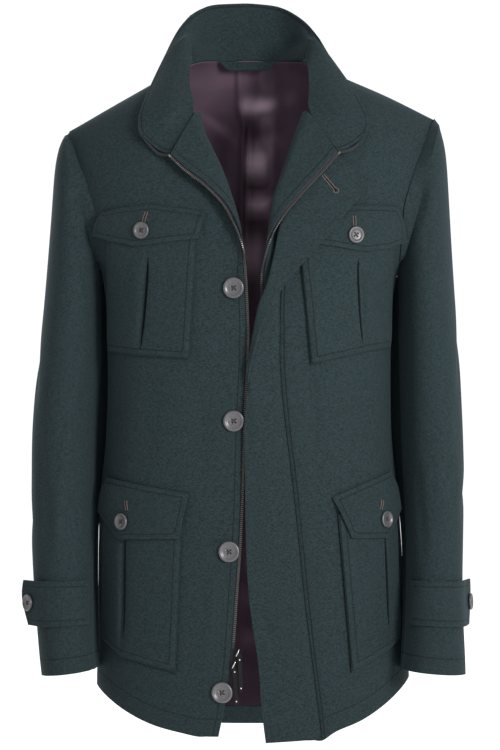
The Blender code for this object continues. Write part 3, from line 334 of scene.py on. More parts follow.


# soft creases, in mm: start across and height, end across and height, width, depth
# (a ridge has a negative depth)
creases = {
    "torso": {
        "front": [(66, -300, 84, -440, 13, 2.2), (92, -345, 100, -480, 12, -2.0),
                  (135, -350, 140, -440, 17, 2.6), (112, -380, 118, -455, 11, -1.6),
                  (-60, -360, -52, -470, 16, 1.6), (-40, -590, -48, -700, 11, -1.2),
                  (-112, -365, -122, -450, 18, 1.5), (84, -560, 98, -700, 14, -1.3),
                  (-66, -90, -110, -120, 20, 1.6), (160, -60, 175, -130, 16, 1.4)],
        "back": [(-40, -120, -95, -150, 20, 2.0), (38, -125, 110, -160, 18, 2.2),
                 (-130, -180, -105, -290, 18, 2.8), (126, -190, 98, -310, 17, 2.5),
                 (-60, -420, -74, -600, 22, -2.2), (52, -400, 66, -560, 20, -2.0),
                 (-15, -360, -28, -470, 16, 1.6), (110, -480, 118, -650, 19, 2.0)],
    },
    "sleeveRight": {
        "front": [(-252, -420, -237, -560, 9, 2.6), (-222, -470, -232, -570, 10, -1.6),
                  (-196, -360, -206, -480, 10, 1.6), (-204, -120, -212, -190, 12, 1.6)],
        "back": [(-190, -250, -225, -300, 12, 2.2), (-188, -360, -235, -400, 12, 2.6),
                 (-195, -420, -240, -450, 11, 2.0)],
        "right": [(10, -300, -40, -380, 14, 1.8), (20, -470, -50, -540, 13, 2.0)],
    },
    "sleeveLeft": {
        "front": [(204, -465, 210, -570, 8, 2.2), (250, -390, 254, -450, 8, 1.8),
                  (230, -430, 234, -560, 11, -1.5), (204, -90, 214, -200, 12, 1.6)],
        "back": [(192, -260, 228, -305, 12, 2.2), (190, -365, 236, -410, 13, 2.6),
                 (198, -440, 240, -462, 11, 2.0)],
        "left": [(0, -290, -45, -370, 14, 1.8), (10, -460, -60, -520, 13, 2.0)],
    },
    "lining": {
        "back": [(-12.6, 24, -11.6, -21, 4.5, 1.8), (-11.6, -21, -4.8, -48, 4.5, 2.6),
                 (-4.8, -48, -8.7, -79, 4.5, 2.4), (-8.7, -79, -7.7, -171, 4.5, 2.2),
                 (-7.7, -171, -3.8, -300, 5.0, 2.0), (-0.5, -48, -3.0, -180, 3.6, -3.2),
                 (0, -31, 34, -26, 13, 4.6), (24, -24, 30, -110, 14, 2.2), (0, -55, 36, -52, 11, -3.4),
                 (2, -96, 26, -92, 14, 5.0), (0, -124, 30, -127, 11, -3.6), (4, -152, 28, -148, 10, 4.0),
                 (0, -180, 22, -184, 11, -3.4), (2, -214, 24, -208, 10, 3.0),
                 (-62, -34, -16, -72, 11, 3.0), (-48, -88, -16, -112, 11, -2.6),
                 (-40, -120, -14, -150, 10, 2.6), (-26, -186, -12, -214, 10, -2.2),
                 (-14, -560, 8, -572, 8, 3.0), (-16, -588, 10, -604, 7, -2.6),
                 (-18, -612, 12, -622, 8, 3.2), (-20, -640, 14, -655, 8, -2.8),
                 (-18, -664, 16, -672, 8, 3.0), (-20, -692, 18, -702, 9, -2.6),
                 (-16, -716, 20, -722, 8, 2.6), (-90, -260, -70, -420, 16, 2.6),
                 (80, -280, 66, -460, 15, 2.4)],
    },
}
facings = {"front": (0, -1), "back": (0, 1), "left": (1, 0), "right": (-1, 0)}
creaseForm = {"turnFrom": 0.15, "turnSpan": 0.45, "endSwell": 0.55, "shoulder": 0.8}
slices = {"count": 12, "endIn": 0.02, "halfHeight": 0.05}


def sliceCentres(nodes):
    spots = np.array([vert.co for node in nodes for vert in bpy.data.objects[node].data.vertices])
    low, high = spots[:, 2].min() + slices["endIn"], spots[:, 2].max() - slices["endIn"]
    heights = np.linspace(low, high, slices["count"])
    centres = []
    for z in heights:
        near = spots[abs(spots[:, 2] - z) < slices["halfHeight"]]
        centres.append((near[:, :2].min(axis=0) + near[:, :2].max(axis=0)) / 2)
    return heights, np.array(centres)


centreLines = {
    "torso": (np.array((-1.0, 1.0)), np.zeros((2, 2))),
    "sleeveRight": sliceCentres(["sleeve_upper_right", "sleeve_under_right"]),
    "sleeveLeft": sliceCentres(["sleeve_upper_left", "sleeve_under_left"]),
}
centreLines["lining"] = centreLines["torso"]


def centreAt(tube, z):
    heights, centres = centreLines[tube]
    return np.stack([np.interp(z, heights, centres[:, axis]) for axis in (0, 1)], axis=-1)


def eased(share):
    return share * share * (3 - 2 * share)


def creaseMoves(spots, tube):
    away = spots[:, :2] - centreAt(tube, spots[:, 2])
    away /= np.maximum(np.linalg.norm(away, axis=1, keepdims=True), 1e-6)
    moved = np.zeros(len(spots))
    for face, rows in creases[tube].items():
        facing = np.array(facings[face], dtype=float)
        toward = eased(np.clip((away @ facing - creaseForm["turnFrom"]) / creaseForm["turnSpan"], 0, 1))
        across = spots[:, 0] if face in ("front", "back") else spots[:, 1]
        flat = np.stack([across, spots[:, 2]], axis=1) / mm
        for x0, z0, x1, z1, width, depth in rows:
            start, run = np.array((x0, z0), float), np.array((x1 - x0, z1 - z0), float)
            along = np.clip((flat - start) @ run / (run @ run), 0, 1)
            gap = np.linalg.norm(flat - start - along[:, None] * run, axis=1) / width
            swell = creaseForm["endSwell"] + (1 - creaseForm["endSwell"]) * np.sin(math.pi * along)
            moved -= depth * mm * toward * swell * (1 - creaseForm["shoulder"] * gap ** 2) * np.exp(-gap ** 2)
    return np.concatenate([away * moved[:, None], np.zeros((len(spots), 1))], axis=1)


# cloth skins on the solids' forms
cloth = {"sharpAngle": math.radians(50), "cornerAngle": math.radians(42), "rimRoundMm": 0.75,
         "weldMm": 0.001, "cutMm": 0.02, "fitTurns": 3, "fitShare": 0.9}


def coarseCopy(node):
    bm = bmesh.new()
    bm.from_mesh(bpy.data.objects[node].data)
    bmesh.ops.remove_doubles(bm, verts=bm.verts, dist=cloth["weldMm"] * mm)
    bmesh.ops.join_triangles(bm, faces=bm.faces, angle_face_threshold=math.pi, angle_shape_threshold=math.pi,
                             topology_influence=2.0)
    return bm


def sharpEdges(bm):
    side = bm.faces.layers.int.get("side")
    return [edge for edge in bm.edges if len(edge.link_faces) == 2
            and (edge.calc_face_angle(0.0) > cloth["sharpAngle"]
                 or side and edge.link_faces[0][side] != edge.link_faces[1][side])]


# the rounded copy passes through the solid's points: each turn moves the coarse ones out by what is lost
def denseCopy(bm, level):
    bm.faces.index_update()
    regions = [[face.index for face in region] for region in regionsOf(bm)]
    side = bm.faces.layers.int.new("side")
    bm.faces.ensure_lookup_table()
    for k, region in enumerate(regions):
        for index in region:
            bm.faces[index][side] = k + 1
    hold = bm.edges.layers.float.new("crease_edge")
    for edge in sharpEdges(bm):
        edge[hold] = 1.0
    mesh = meshFrom(bm, "coarse")
    goals = [vert.co.copy() for vert in mesh.vertices]
    holder = newObject("coarse", mesh)
    rounder = holder.modifiers.new("round", "SUBSURF")
    rounder.levels = rounder.render_levels = level
    for turn in range(cloth["fitTurns"] + 1):
        fine = evaluatedMesh(holder)
        if turn < cloth["fitTurns"]:
            for vert, goal, got in zip(mesh.vertices, goals, fine.vertices):
                vert.co += (goal - got.co) * cloth["fitShare"]
            mesh.update()
            bpy.data.meshes.remove(fine)
    bpy.data.objects.remove(holder, do_unlink=True)
    dense = bmesh.new()
    dense.from_mesh(fine)
    return dense


# the two broad sides of a wall: by their mark once the copy has one, before that by its sharp edges
def regionsOf(bm):
    side = bm.faces.layers.int.get("side")
    if side:
        return [[face for face in bm.faces if face[side] == k] for k in (1, 2)]
    sharp = set(sharpEdges(bm))
    seen, regions = set(), []
    for first in bm.faces:
        if first in seen:
            continue
        region, queue = [], [first]
        seen.add(first)
        while queue:
            face = queue.pop()
            region.append(face)
            for other in [other for edge in face.edges if edge not in sharp for other in edge.link_faces]:
                if other not in seen:
                    seen.add(other)
                    queue.append(other)
        regions.append(region)
    regions.sort(key=lambda region: -sum(face.calc_area() for face in region))
    return regions[:2]


def outerFirst(bm, centre):
    def turnedOut(region):
        return sum(face.normal.dot((face.calc_center_median() - centre).normalized()) * face.calc_area()
                   for face in region)
    return sorted(regionsOf(bm), key=lambda region: -turnedOut(region))


# the edge of a region, cut at its corners
def rimSides(region):
    faces = set(region)
    rim = [edge for face in region for edge in face.edges
           if sum(other in faces for other in edge.link_faces) == 1]
    joined = {}
    for edge in set(rim):
        for vert in edge.verts:
            joined.setdefault(vert, []).append(edge)
    left, sides = set(rim), []
    while left:
        edge = min(left, key=lambda item: item.index)
        loop, here = [edge.verts[0]], edge.verts[1]
        left.discard(edge)
        while here is not loop[0]:
            loop.append(here)
            onward = [item for item in joined[here] if item in left]
            if not onward:
                break
            left.discard(onward[0])
            here = onward[0].other_vert(here)
        spots = [vert.co.copy() for vert in loop]
        count = len(spots)
        turns = [(spots[k] - spots[k - 1]).angle(spots[(k + 1) % count] - spots[k], 0) for k in range(count)]
        corners = [k for k in range(count) if turns[k] > cloth["cornerAngle"]]
        if not corners:
            sides.append(spots + spots[:1])
        for k, corner in enumerate(corners):
            span = (corners[(k + 1) % len(corners)] - corner) % count or count
            sides.append([spots[(corner + j) % count] for j in range(span + 1)])
    return sides


def pointTo(line, spot):
    return min((Vector(spot) - point).length for point in line)


def lineLength(line):
    return sum((b - a).length for a, b in zip(line, line[1:]))


def pointTree(spots):
    tree = KDTree(len(spots))
    for k, spot in enumerate(spots):
        tree.insert(spot, k)
    tree.balance()
    return tree


def treeOf(lines, step=0.6 * mm):
    spots = []
    for line in lines:
        for a, b in zip(line, line[1:]):
            count = max(int((b - a).length / step), 1)
            spots += [a.lerp(b, k / count) for k in range(count)]
        spots.append(line[-1])
    return pointTree(spots)


# lines on a region where the layer is zero, as pairs of place and normal
def isoLines(region, layer):
    crossing, links = {}, {}
    for face in region:
        cut = []
        for edge in face.edges:
            a, b = edge.verts
            if (a[layer] < 0) != (b[layer] < 0):
                t = a[layer] / (a[layer] - b[layer])
                crossing[edge] = (a.co.lerp(b.co, t), a.normal.lerp(b.normal, t).normalized())
                cut.append(edge)
        for one, two in zip(cut[::2], cut[1::2]):
            links.setdefault(one, []).append(two)
            links.setdefault(two, []).append(one)
    lines, left = [], set(links)
    while left:
        ends = [edge for edge in left if len(links[edge]) == 1]
        here = min(ends or left, key=lambda edge: edge.index)
        line = []
        while here is not None:
            left.discard(here)
            line.append(crossing[here])
            here = next((edge for edge in links[here] if edge in left), None)
        if not ends:
            line.append(line[0])
        lines.append(line)
    return lines


def ellipsoid(name, size, segments=0):
    bm = bmesh.new()
    if segments:
        bmesh.ops.create_uvsphere(bm, u_segments=segments, v_segments=6, radius=1.0)
    else:
        bmesh.ops.create_icosphere(bm, subdivisions=1, radius=1.0)
    bmesh.ops.scale(bm, verts=bm.verts, vec=size)
    return meshFrom(bm, name)


stitch = {"pitchMm": 3.5, "lengthMm": 2.7, "halfWidthMm": 0.32, "halfHeightMm": 0.3, "sinkMm": 0.05}
stitchMesh = ellipsoid("stitchBase", (stitch["lengthMm"] / 2 * mm, stitch["halfWidthMm"] * mm,
                                      stitch["halfHeightMm"] * mm))
allStitches = bmesh.new()


def placeCopy(bm, mesh, matrix):
    before = len(bm.verts)
    bm.from_mesh(mesh)
    bm.verts.ensure_lookup_table()
    bmesh.ops.transform(bm, matrix=matrix, verts=bm.verts[before:])


def placing(spot, forward, across, up):
    return Matrix.Translation(spot) @ Matrix((forward, across, up)).transposed().to_4x4()


def frameAt(spot, forward, up):
    forward = forward.normalized()
    across = up.cross(forward).normalized()
    return placing(spot, forward, across, forward.cross(across))


def secondMaterial(bm, before):
    bm.faces.ensure_lookup_table()
    for face in bm.faces[before:]:
        face.material_index = 1


def roundEdges(bm, edges, roundMm, segments=2):
    bmesh.ops.bevel(bm, geom=edges, offset=roundMm * mm, offset_type="OFFSET", segments=segments, profile=0.5,
                    affect="EDGES", clamp_overlap=True, material=-1)


# even steps along a line: which part of it, and the share of that part
def evenSteps(spots, pitch, due):
    gone, steps = 0.0, []
    for k, (a, b) in enumerate(zip(spots, spots[1:])):
        length = (b - a).length
        while length > 1e-9 and gone + length >= due:
            steps.append((k, (due - gone) / length))
            due += pitch
        gone += length
    return steps


def sewAlong(line):
    pitch = stitch["pitchMm"] * mm
    for k, t in evenSteps([spot for spot, normal in line], pitch, pitch / 2):
        (a, normalA), (b, normalB) = line[k:k + 2]
        normal = normalA.lerp(normalB, t).normalized()
        spot = a.lerp(b, t) - normal * stitch["sinkMm"] * mm
        placeCopy(allStitches, stitchMesh, frameAt(spot, b - a, normal))


sidesOf = {}
treesOf = {}


def meltedIn(distance, reach):
    return eased(max(1 - distance / reach, 0.0))


def besideSeam(side, rule):
    return min(pointTo(side, Vector(spot) * mm) for spot in rule["near"]) < rule["withinMm"] * mm


# draws a rim to the neighbour that it is sewn to, so the seam closes to a hair line
def closeSeam(bm, rule, centre):
    goals = [side for node in rule["to"] for side in sidesOf[node]
             if not rule["near"] or besideSeam(side, rule)]
    if not goals:
        print("no seam found", rule["to"])
        return
    goalTree = treeOf(goals)
    bm.normal_update()
    own = rimSides(outerFirst(bm, centre)[0])
    if not rule["wholeOwn"]:
        own = [side for side in own if besideSeam(side, rule)]
    moves = []
    for side in own:
        for spot in side:
            goal, _, gap = goalTree.find(spot)
            if gap < rule["mostMm"] * mm:
                moves.append((spot, (goal - spot) * max(1 - rule["leaveMm"] * mm / max(gap, 1e-9), 0)))
    if not moves:
        print("seam left open", rule["to"])
        return
    tree = pointTree([spot for spot, move in moves])
    changes = []
    for vert in bm.verts:
        near = tree.find_n(vert.co, 4)
        gap = near[0][2]
        if gap > rule["reachMm"] * mm:
            continue
        weights = [1 / (item[2] + 1e-5) for item in near]
        move = sum((moves[item[1]][1] * w for item, w in zip(near, weights)), Vector()) / sum(weights)
        changes.append((vert, move * meltedIn(gap, rule["reachMm"] * mm)))
    for vert, move in changes:
        vert.co += move


# lets the rear of a sleeve lie against the body
def leanOn(bm, rule):
    trees = [treesOf[node] for node in rule["to"]]
    middles = centreAt(rule["tube"], np.array([vert.co.z for vert in bm.verts]))[:, 1]
    for vert, middle in zip(bm.verts, middles):
        rear = min(max((vert.co.y - float(middle)) / (rule["rearMm"] * mm), 0.0), 1.0)
        if vert.co.z > rule["belowMm"] * mm or rear <= 0:
            continue
        hits = [tree.find_nearest(vert.co, rule["reachMm"] * mm) for tree in trees]
        hits = [(hit[3], hit[0]) for hit in hits if hit[0] is not None]
        gap, goal = min(hits, key=lambda hit: hit[0], default=(0.0, None))
        if gap < 1e-6:
            continue
        pull = max(gap - rule["leaveMm"] * mm, 0) * meltedIn(gap, rule["reachMm"] * mm) ** 0.5 * rear
        vert.co += (goal - vert.co) / gap * pull


# where the camera's line through a place at the middle plane meets the cloth
def onSurface(surface, x, z):
    start = Vector(studio["cameraPlace"])
    direction = (Vector((x * mm, 0, z * mm)) - start).normalized()
    hit = surface.ray_cast(start, direction)
    return hit[0], (hit[1] if hit[1] is None or hit[1].dot(direction) < 0 else -hit[1])


def drawnLine(surface, points, step=2.0):
    line = []
    for (x0, z0), (x1, z1) in zip(points, points[1:]):
        count = max(int(math.hypot(x1 - x0, z1 - z0) / step), 1)
        for k in range(count):
            line.append(onSurface(surface, x0 + (x1 - x0) * k / count, z0 + (z1 - z0) * k / count))
    line.append(onSurface(surface, *points[-1]))
    return [item for item in line if item[0] is not None]


def skin(node, spec):
    tube = spec.get("tube", "torso")
    bm = coarseCopy(node)
    if "prepare" in spec:
        spec["prepare"](bm)
    bm = denseCopy(bm, spec.get("level", 3))
    if "shape" in spec:
        spec["shape"](bm)
    spots = np.array([vert.co for vert in bm.verts])
    for vert, move in zip(bm.verts, creaseMoves(spots, tube)):
        vert.co += Vector(move)
    middleZ = float(spots[:, 2].mean())
    centre = Vector((*centreAt(tube, middleZ), middleZ))
    for spot, move, width in spec.get("nudges", []):
        for vert in bm.verts:
            vert.co += Vector(move) * mm * meltedIn((vert.co - Vector(spot) * mm).length, width * mm)
    for rule in spec.get("seams", []):
        closeSeam(bm, rule, centre)
    if "lean" in spec:
        leanOn(bm, spec["lean"])
    bm.normal_update()
    for items in (bm.verts, bm.edges, bm.faces):
        items.index_update()
    outer, inner = outerFirst(bm, centre)
    regionsFor = {"outer": [outer], "inner": [inner], "both": [outer, inner]}
    sidesOf[node] = rimSides(outer)
    for name in ("rowA", "rowB", "paintedShade"):
        if not bm.verts.layers.float.get(name):
            bm.verts.layers.float.new(name)
    layers = [bm.verts.layers.float["rowA"], bm.verts.layers.float["rowB"]]
    for vert in bm.verts:
        vert[layers[0]] = vert[layers[1]] = 99.0        # far from any stitch row
    for layer, row in zip(layers, spec.get("rows", [])):
        choices = sidesOf[row["of"] or node]
        tree = treeOf([min(choices, key=lambda side: pointTo(side, Vector(spot) * mm))
                       for spot in row["beside"]] or choices)
        for vert in bm.verts:
            vert[layer] = tree.find(vert.co)[2] / mm - row["inMm"]
        for region in regionsFor[row["on"]]:
            for line in isoLines(region, layer):
                sewAlong(line)
    surface = BVHTree.FromBMesh(bm)
    for points in spec.get("drawn", []):
        sewAlong(drawnLine(surface, points))
    treesOf[node] = surface
    if "innerFace" in spec:
        for face in inner:
            face.material_index = 1
    roundEdges(bm, sharpEdges(bm), spec.get("round", cloth["rimRoundMm"]))
    bmesh.ops.recalc_face_normals(bm, faces=bm.faces)
    piece = meshObject(node + "_cloth", bm, [spec.get("material", meltonCloth), satinLining])
    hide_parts(node)
    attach(piece, "jacket")


def cutColumns(bm, columns):
    for place, normal in columns:
        bmesh.ops.bisect_plane(bm, geom=bm.verts[:] + bm.edges[:] + bm.faces[:], dist=cloth["cutMm"] * mm,
                               plane_co=place, plane_no=normal)


# bellows pockets: places beside the stitched edges, and the slit of the inverted pleat from the flap down
pockets = {
    "chest_right": {
        "flat": (0.115, 0.15), "flapFlat": (0.145, 0.05),
        "sides": [(-64, -120, -260), (-98, -120, -335), (-167, -100, -260)],
        "slit": {"top": (-117, -188), "bottom": (-128, -332), "open": (.2, .97), "widthMm": 4.6}},
    "chest_left": {
        "flat": (0.125, 0.155), "flapFlat": (0.155, 0.055), "sides": [(67, -120, -260), (106, -120, -336)],
        "slit": {"top": (130, -190), "bottom": (137, -328), "open": (.2, .95), "widthMm": 4.2}},
    "lower_right": {
        "flat": (0.115, 0.195), "flapFlat": (0.125, 0.075),
        "sides": [(-81, -120, -600), (-117, -120, -700), (-172, -90, -600)],
        "slit": {"top": (-146, -515), "bottom": (-149, -692), "open": (.16, .86), "widthMm": 4.2}},
    "lower_left": {
        "flat": (0.09, 0.19), "flapFlat": (0.1, 0.08),
        "sides": [(114, -120, -600), (145, -120, -697), (177, -90, -600)],
        "slit": {"top": (161.5, -517), "bottom": (169, -684), "open": (.16, .86), "widthMm": 4.0}},
}
pleat = {"halfWidthMm": 1.6, "footShare": 0.9, "crosswise": 0.7, "riseMm": 0.35}
slitForm = {
    "columnsMm": (-6.5, -3.4, -1.7, 0.0, 1.7, 3.4, 6.5),
    "reachMm": 3.6,
    "wallMm": 2.5,
    "middleMm": 0.3,
    "wallShare": 0.8,
    "lipMm": 0.5,
    "depthMm": 3.2,
    "upperPower": 0.35,
    "lowerPower": 0.6,
}


def slitFrame(bm, spec):
    (x0, z0), (x1, z1) = spec["top"], spec["bottom"]
    surface = BVHTree.FromBMesh(bm)
    top, foot = (surface.ray_cast(Vector((x * mm, -0.5, z * mm)), Vector((0, 1, 0)))[0]
                 for x, z in ((x0, z0 - 4), (x1, z1 + 4)))
    down = foot - top
    normal = surface.find_nearest((top + foot) / 2 + Vector((0, -0.01, 0)))[1]
    if normal.y > 0:
        normal = -normal
    return top, down, down.normalized().cross(normal).normalized(), normal


def flattenPleat(spec):
    def prepare(bm):
        start, down, across, normal = slitFrame(bm, spec)
        bm.normal_update()
        changes = []
        for vert in bm.verts:
            offset = (vert.co - start).dot(across)
            share = (vert.co - start).dot(down) / down.length_squared
            if abs(offset) > pleat["halfWidthMm"] * mm or share > pleat["footShare"]:
                continue
            others = [edge.other_vert(vert).co for edge in vert.link_edges]
            sideways = [other for other in others
                        if abs((other - vert.co).normalized().dot(across)) > pleat["crosswise"]]
            if len(sideways) == 2:
                changes.append((vert, (sideways[0] + sideways[1]) / 2 + normal * pleat["riseMm"] * mm))
        for vert, spot in changes:
            vert.co = spot
    return prepare


def openSlit(spec):
    def shape(bm):
        start, down, across, normal = slitFrame(bm, spec)
        cutColumns(bm, [(start + across * offset * mm, across) for offset in slitForm["columnsMm"]])
        paintedShade = bm.verts.layers.float.new("paintedShade")
        first, last = spec["open"]
        for vert in bm.verts:
            offset = (vert.co - start).dot(across) / mm
            t = ((vert.co - start).dot(down) / down.length_squared - first) / (last - first)
            if abs(offset) > slitForm["reachMm"] or t <= 0 or t >= 1:
                continue
            openness = (4 * t * (1 - t)) ** slitForm["lowerPower" if t > 0.5 else "upperPower"]
            half = spec["widthMm"] / 2 * openness
            if abs(offset) < slitForm["middleMm"]:
                goal, sink = 0.0, 1.0
            elif abs(offset) < slitForm["wallMm"]:
                goal, sink = half * slitForm["wallShare"], 1.0
            else:
                goal, sink = half + slitForm["lipMm"], 0.0
            inward = sink * slitForm["depthMm"] * openness ** 0.5
            vert.co += across * (math.copysign(goal, offset) - offset) * mm - normal * inward * mm
            # painted shade: the slit's walls and floor are marked to darken
            vert[paintedShade] = sink * min(openness * 2, 1)
    return shape


# the lining: extra columns beside its pleat, its top lifted to the collar, painted shade down inside, painted
# highlights and painted shade on its folds
lining = {
    "columnsMm": [k * 1.9 - 17 for k in range(13)],
    "liftMm": (3.2, 6.0),
    "liftZ": (-0.004, 0.026),           # height where the lift starts, and over what height it grows
    "darkZ": (-0.42, 0.30),             # the same downward for the painted shade
    "darkPower": 0.8,
    "darkMost": 0.92,
    # painted highlights (sheen) and painted shade (shade) on the lining's folds: place across and height,
    # half width and half height of each patch, its strength
    "sheen": [(13, -20, 20, 10, .8), (11, -90, 14, 17, .95), (13, -141, 15, 10, .7), (5, -206, 12, 24, .5),
              (-19, -95, 9, 30, .05), (24, -60, 9, 60, .25), (4, -330, 13, 42, .12), (6, -592, 12, 9, .14),
              (2, -640, 14, 8, .12), (6, -690, 16, 9, .14)],
    "shade": [(14, -52, 22, 10, .4), (14, -118, 18, 8, .5), (10, -168, 16, 12, .55), (-30, -60, 14, 9, .3),
              (-22, -142, 10, 16, .35), (2, -238, 14, 12, .3)],
}


def foldLining(bm):
    cutColumns(bm, [((x * mm, 0, 0), (1, 0, 0)) for x in lining["columnsMm"]])
    for name in ("paintedShade", "shine"):
        bm.verts.layers.float.new(name)
    paintedShade, shine = (bm.verts.layers.float[name] for name in ("paintedShade", "shine"))
    for vert in bm.verts:
        x, z = vert.co.x / mm, vert.co.z / mm
        # painted highlights and painted shade from the listed patches
        sheen, shade = (max(strength * math.exp(-((x - px) / rx) ** 4 - ((z - pz) / rz) ** 2)
                            for px, pz, rx, rz, strength in lining[name]) if vert.co.y > 0 else 0
                        for name in ("sheen", "shade"))
        # painted shade: the lining darkens downwards inside and under the listed shade patches
        shadeShare = min(max((lining["darkZ"][0] - vert.co.z) / lining["darkZ"][1], 0.0), 1.0)
        vert[shine] = sheen
        vert[paintedShade] = max(shadeShare ** lining["darkPower"] * lining["darkMost"], shade)
        lift = min(max((vert.co.z - lining["liftZ"][0]) / lining["liftZ"][1], 0.0), 1.0)
        away = Vector((vert.co.x, vert.co.y, 0)).normalized()
        vert.co += (away * lining["liftMm"][0] + Vector((0, 0, lining["liftMm"][1]))) * mm * eased(lift)


# the seam side of the storm flap lies flat in the front
flapSeam = {"centre": (0, 0, -0.4), "besideMm": (53, -137, -478), "withinMm": 6, "reachMm": 9,
            "thinning": 0.78}


def thinSeam(bm):
    outer, inner = outerFirst(bm, Vector(flapSeam["centre"]))
    seam = treeOf([side for side in rimSides(outer)
                   if pointTo(side, Vector(flapSeam["besideMm"]) * mm) < flapSeam["withinMm"] * mm])
    under = bmesh.new()
    corners = dict.fromkeys(vert for face in inner for vert in face.verts)
    spots = {vert: under.verts.new(vert.co) for vert in corners}
    for face in inner:
        under.faces.new([spots[vert] for vert in face.verts])
    below = BVHTree.FromBMesh(under)
    moves = []
    for vert in {vert for face in outer for vert in face.verts}:
        gap = seam.find(vert.co)[2]
        if gap < flapSeam["reachMm"] * mm:
            share = flapSeam["thinning"] * meltedIn(gap, flapSeam["reachMm"] * mm)
            moves.append((vert, (below.find_nearest(vert.co)[0] - vert.co) * share))
    for vert, move in moves:
        vert.co += move
    under.free()


# a row of stitches runs this far in from the sides of the rim nearest to the places, or from the whole rim
def stitchRow(inMm, *beside, of="", on="outer"):
    return {"inMm": inMm, "beside": beside, "of": of, "on": on}


# without places to be near, both whole rims take part
def seamTo(nodes, mostMm, leaveMm, reachMm, near=(), withinMm=25, wholeOwn=False):
    return {"to": nodes, "mostMm": mostMm, "leaveMm": leaveMm, "reachMm": reachMm, "near": near,
            "withinMm": withinMm, "wholeOwn": wholeOwn or not near}


# flat size and area in metres, places in mm
pieces = {
    "back_left": {"flat": (0.26, 0.86), "area": 0.2, "restsOn": ["lining_back"], "innerFace": True,
                  "rows": [stitchRow(21.0, (100, 115, -785))]},
    "back_right": {"flat": (0.26, 0.86), "area": 0.195, "restsOn": ["lining_back"], "innerFace": True,
                   "rows": [stitchRow(21.0, (-100, 115, -785))],
                   "seams": [seamTo(["back_left"], 3.0, -0.15, 8.0, [(0, 130, -400)])]},
    "storm_flap": {"flat": (0.062, 0.76), "area": 0.0405, "restsOn": ["front_left"], "shape": thinSeam,
                   "drawn": [[(38.2, -228.8), (20.1, -264.7), (12.7, -280), (8.9, -297.5)]]},
    "front_left": {"level": 2, "flat": (0.275, 0.83), "area": 0.168, "restsOn": ["back_left"],
                   "innerFace": True, "nudges": [((66, -88, -40), (3.5, 0, 1), 13)],
                   "rows": [stitchRow(21.0, (100, -125, -775)),
                            stitchRow(6.0, (58, -130, -527), of="storm_flap")],
                   "seams": [seamTo(["back_left"], 4.0, -0.2, 14.0, [(140, 0, -20), (188, 0, -500)], 12)]},
    "front_right": {"level": 2, "flat": (0.29, 0.83), "area": 0.179, "restsOn": ["back_right"],
                    "innerFace": True, "nudges": [((-60, -87, -39), (-5, 0, 1), 13)],
                    "rows": [stitchRow(21.0, (-100, -125, -770)), stitchRow(7.0, (-5, -137, -500))],
                    "seams": [seamTo(["back_right"], 4.0, -0.2, 14.0,
                                     [(-140, 0, -22), (-182, 0, -500)], 12)]},
    "collar": {"round": 0.5, "flat": (0.47, 0.1), "area": 0.034, "restsOn": ["back_left"],
               "rows": [stitchRow(5.0, (0, 86, 107), (133, -106, -74), (-117, -107, -78), on="both")],
               "seams": [seamTo(["front_left", "front_right", "back_left", "back_right"], 13.0, 0.2, 26.0,
                                [(0, 70, 34), (76, -90, -42), (-67, -90, -42), (73, -20, 20), (-71, -20, 20)],
                                12)]},
    "facing_left": {"level": 2, "flat": (0.075, 0.80), "area": 0.0365, "restsOn": ["front_left"],
                    "rows": [stitchRow(7.0, (25, -140, -220), on="inner")],
                    "drawn": [[(94.8, -68.3), (43.8, -125.7), (31.3, -156.1), (25, -180)],
                              [(99.8, -70.7), (49, -128), (37, -157), (31, -180)]]},
    "facing_right": {"level": 2, "flat": (0.075, 0.80), "area": 0.0365, "restsOn": ["front_right"],
                     "rows": [stitchRow(7.0, (-12, -140, -190), on="inner")]},
    "back_hem_left": {"level": 2, "flat": (0.25, 0.022), "area": 0.0054, "restsOn": ["back_left"],
                      "material": paintedLightHemCloth},
    "back_hem_right": {"level": 2, "flat": (0.25, 0.022), "area": 0.0054, "restsOn": ["back_right"],
                       "material": paintedLightHemCloth, "seams": [seamTo(["back_hem_left"], 1.5, -0.15, 4.0)]},
    "lining_back": {"tube": "lining", "flat": (0.52, 0.83), "area": 0.364, "restsOn": ["collar"],
                    "material": satinLining, "slot": "satin", "round": 0.35, "shape": foldLining},
    "hanger_loop": {"level": 2, "flat": (0.07, 0.0105), "area": 0.0006, "restsOn": ["collar"]},
}
# sleeves and cuff straps: flat size, area, place of the cuff's stitch row; half width of the body there
sleeves = {
    "right": {"upper": ((0.26, 0.66), 0.14, (-215, -129, -710)), "strap": ((0.125, 0.052), 0.0058),
              "under": ((0.12, 0.56), 0.0555, (-186, -60, -707)), "sign": -1, "halfMm": 178.0},
    "left": {"upper": ((0.26, 0.67), 0.142, (222, -140, -710)), "strap": ((0.165, 0.052), 0.0078),
             "under": ((0.12, 0.56), 0.0555, (190, -70, -707)), "sign": 1, "halfMm": 182.0},
}
for name, spec in sleeves.items():
    sign, panels, tube = spec["sign"], ["front_" + name, "back_" + name], "sleeve" + name.capitalize()
    armhole = [(sign * 222, 0, -52), (sign * 195, -68, -127), (sign * 190, 70, -130),
               (sign * spec["halfMm"], 0, -232)]
    for part, body in (("upper", "front_"), ("under", "back_")):
        flat, area, cuff = spec[part]
        pieces["sleeve_%s_%s" % (part, name)] = {
            "tube": tube, "flat": flat, "area": area, "restsOn": [body + name], "innerFace": True,
            "rows": [stitchRow(19.0, cuff)],
            "seams": [seamTo(panels, 9.0, -0.5, 22.0, armhole, 9, wholeOwn=True)],
            "lean": {"to": panels, "tube": tube, "belowMm": -236, "rearMm": 20.0, "reachMm": 22.0,
                     "leaveMm": 0.35}}
    pieces["sleeve_under_" + name]["seams"].append(seamTo(["sleeve_upper_" + name], 3.5, -0.2, 8.0))
for name, spec in sleeves.items():
    flat, area = spec["strap"]
    pieces["cuff_strap_" + name] = {"tube": "sleeve" + name.capitalize(), "flat": flat, "area": area,
                                    "restsOn": ["sleeve_upper_" + name], "rows": [stitchRow(7.0)]}
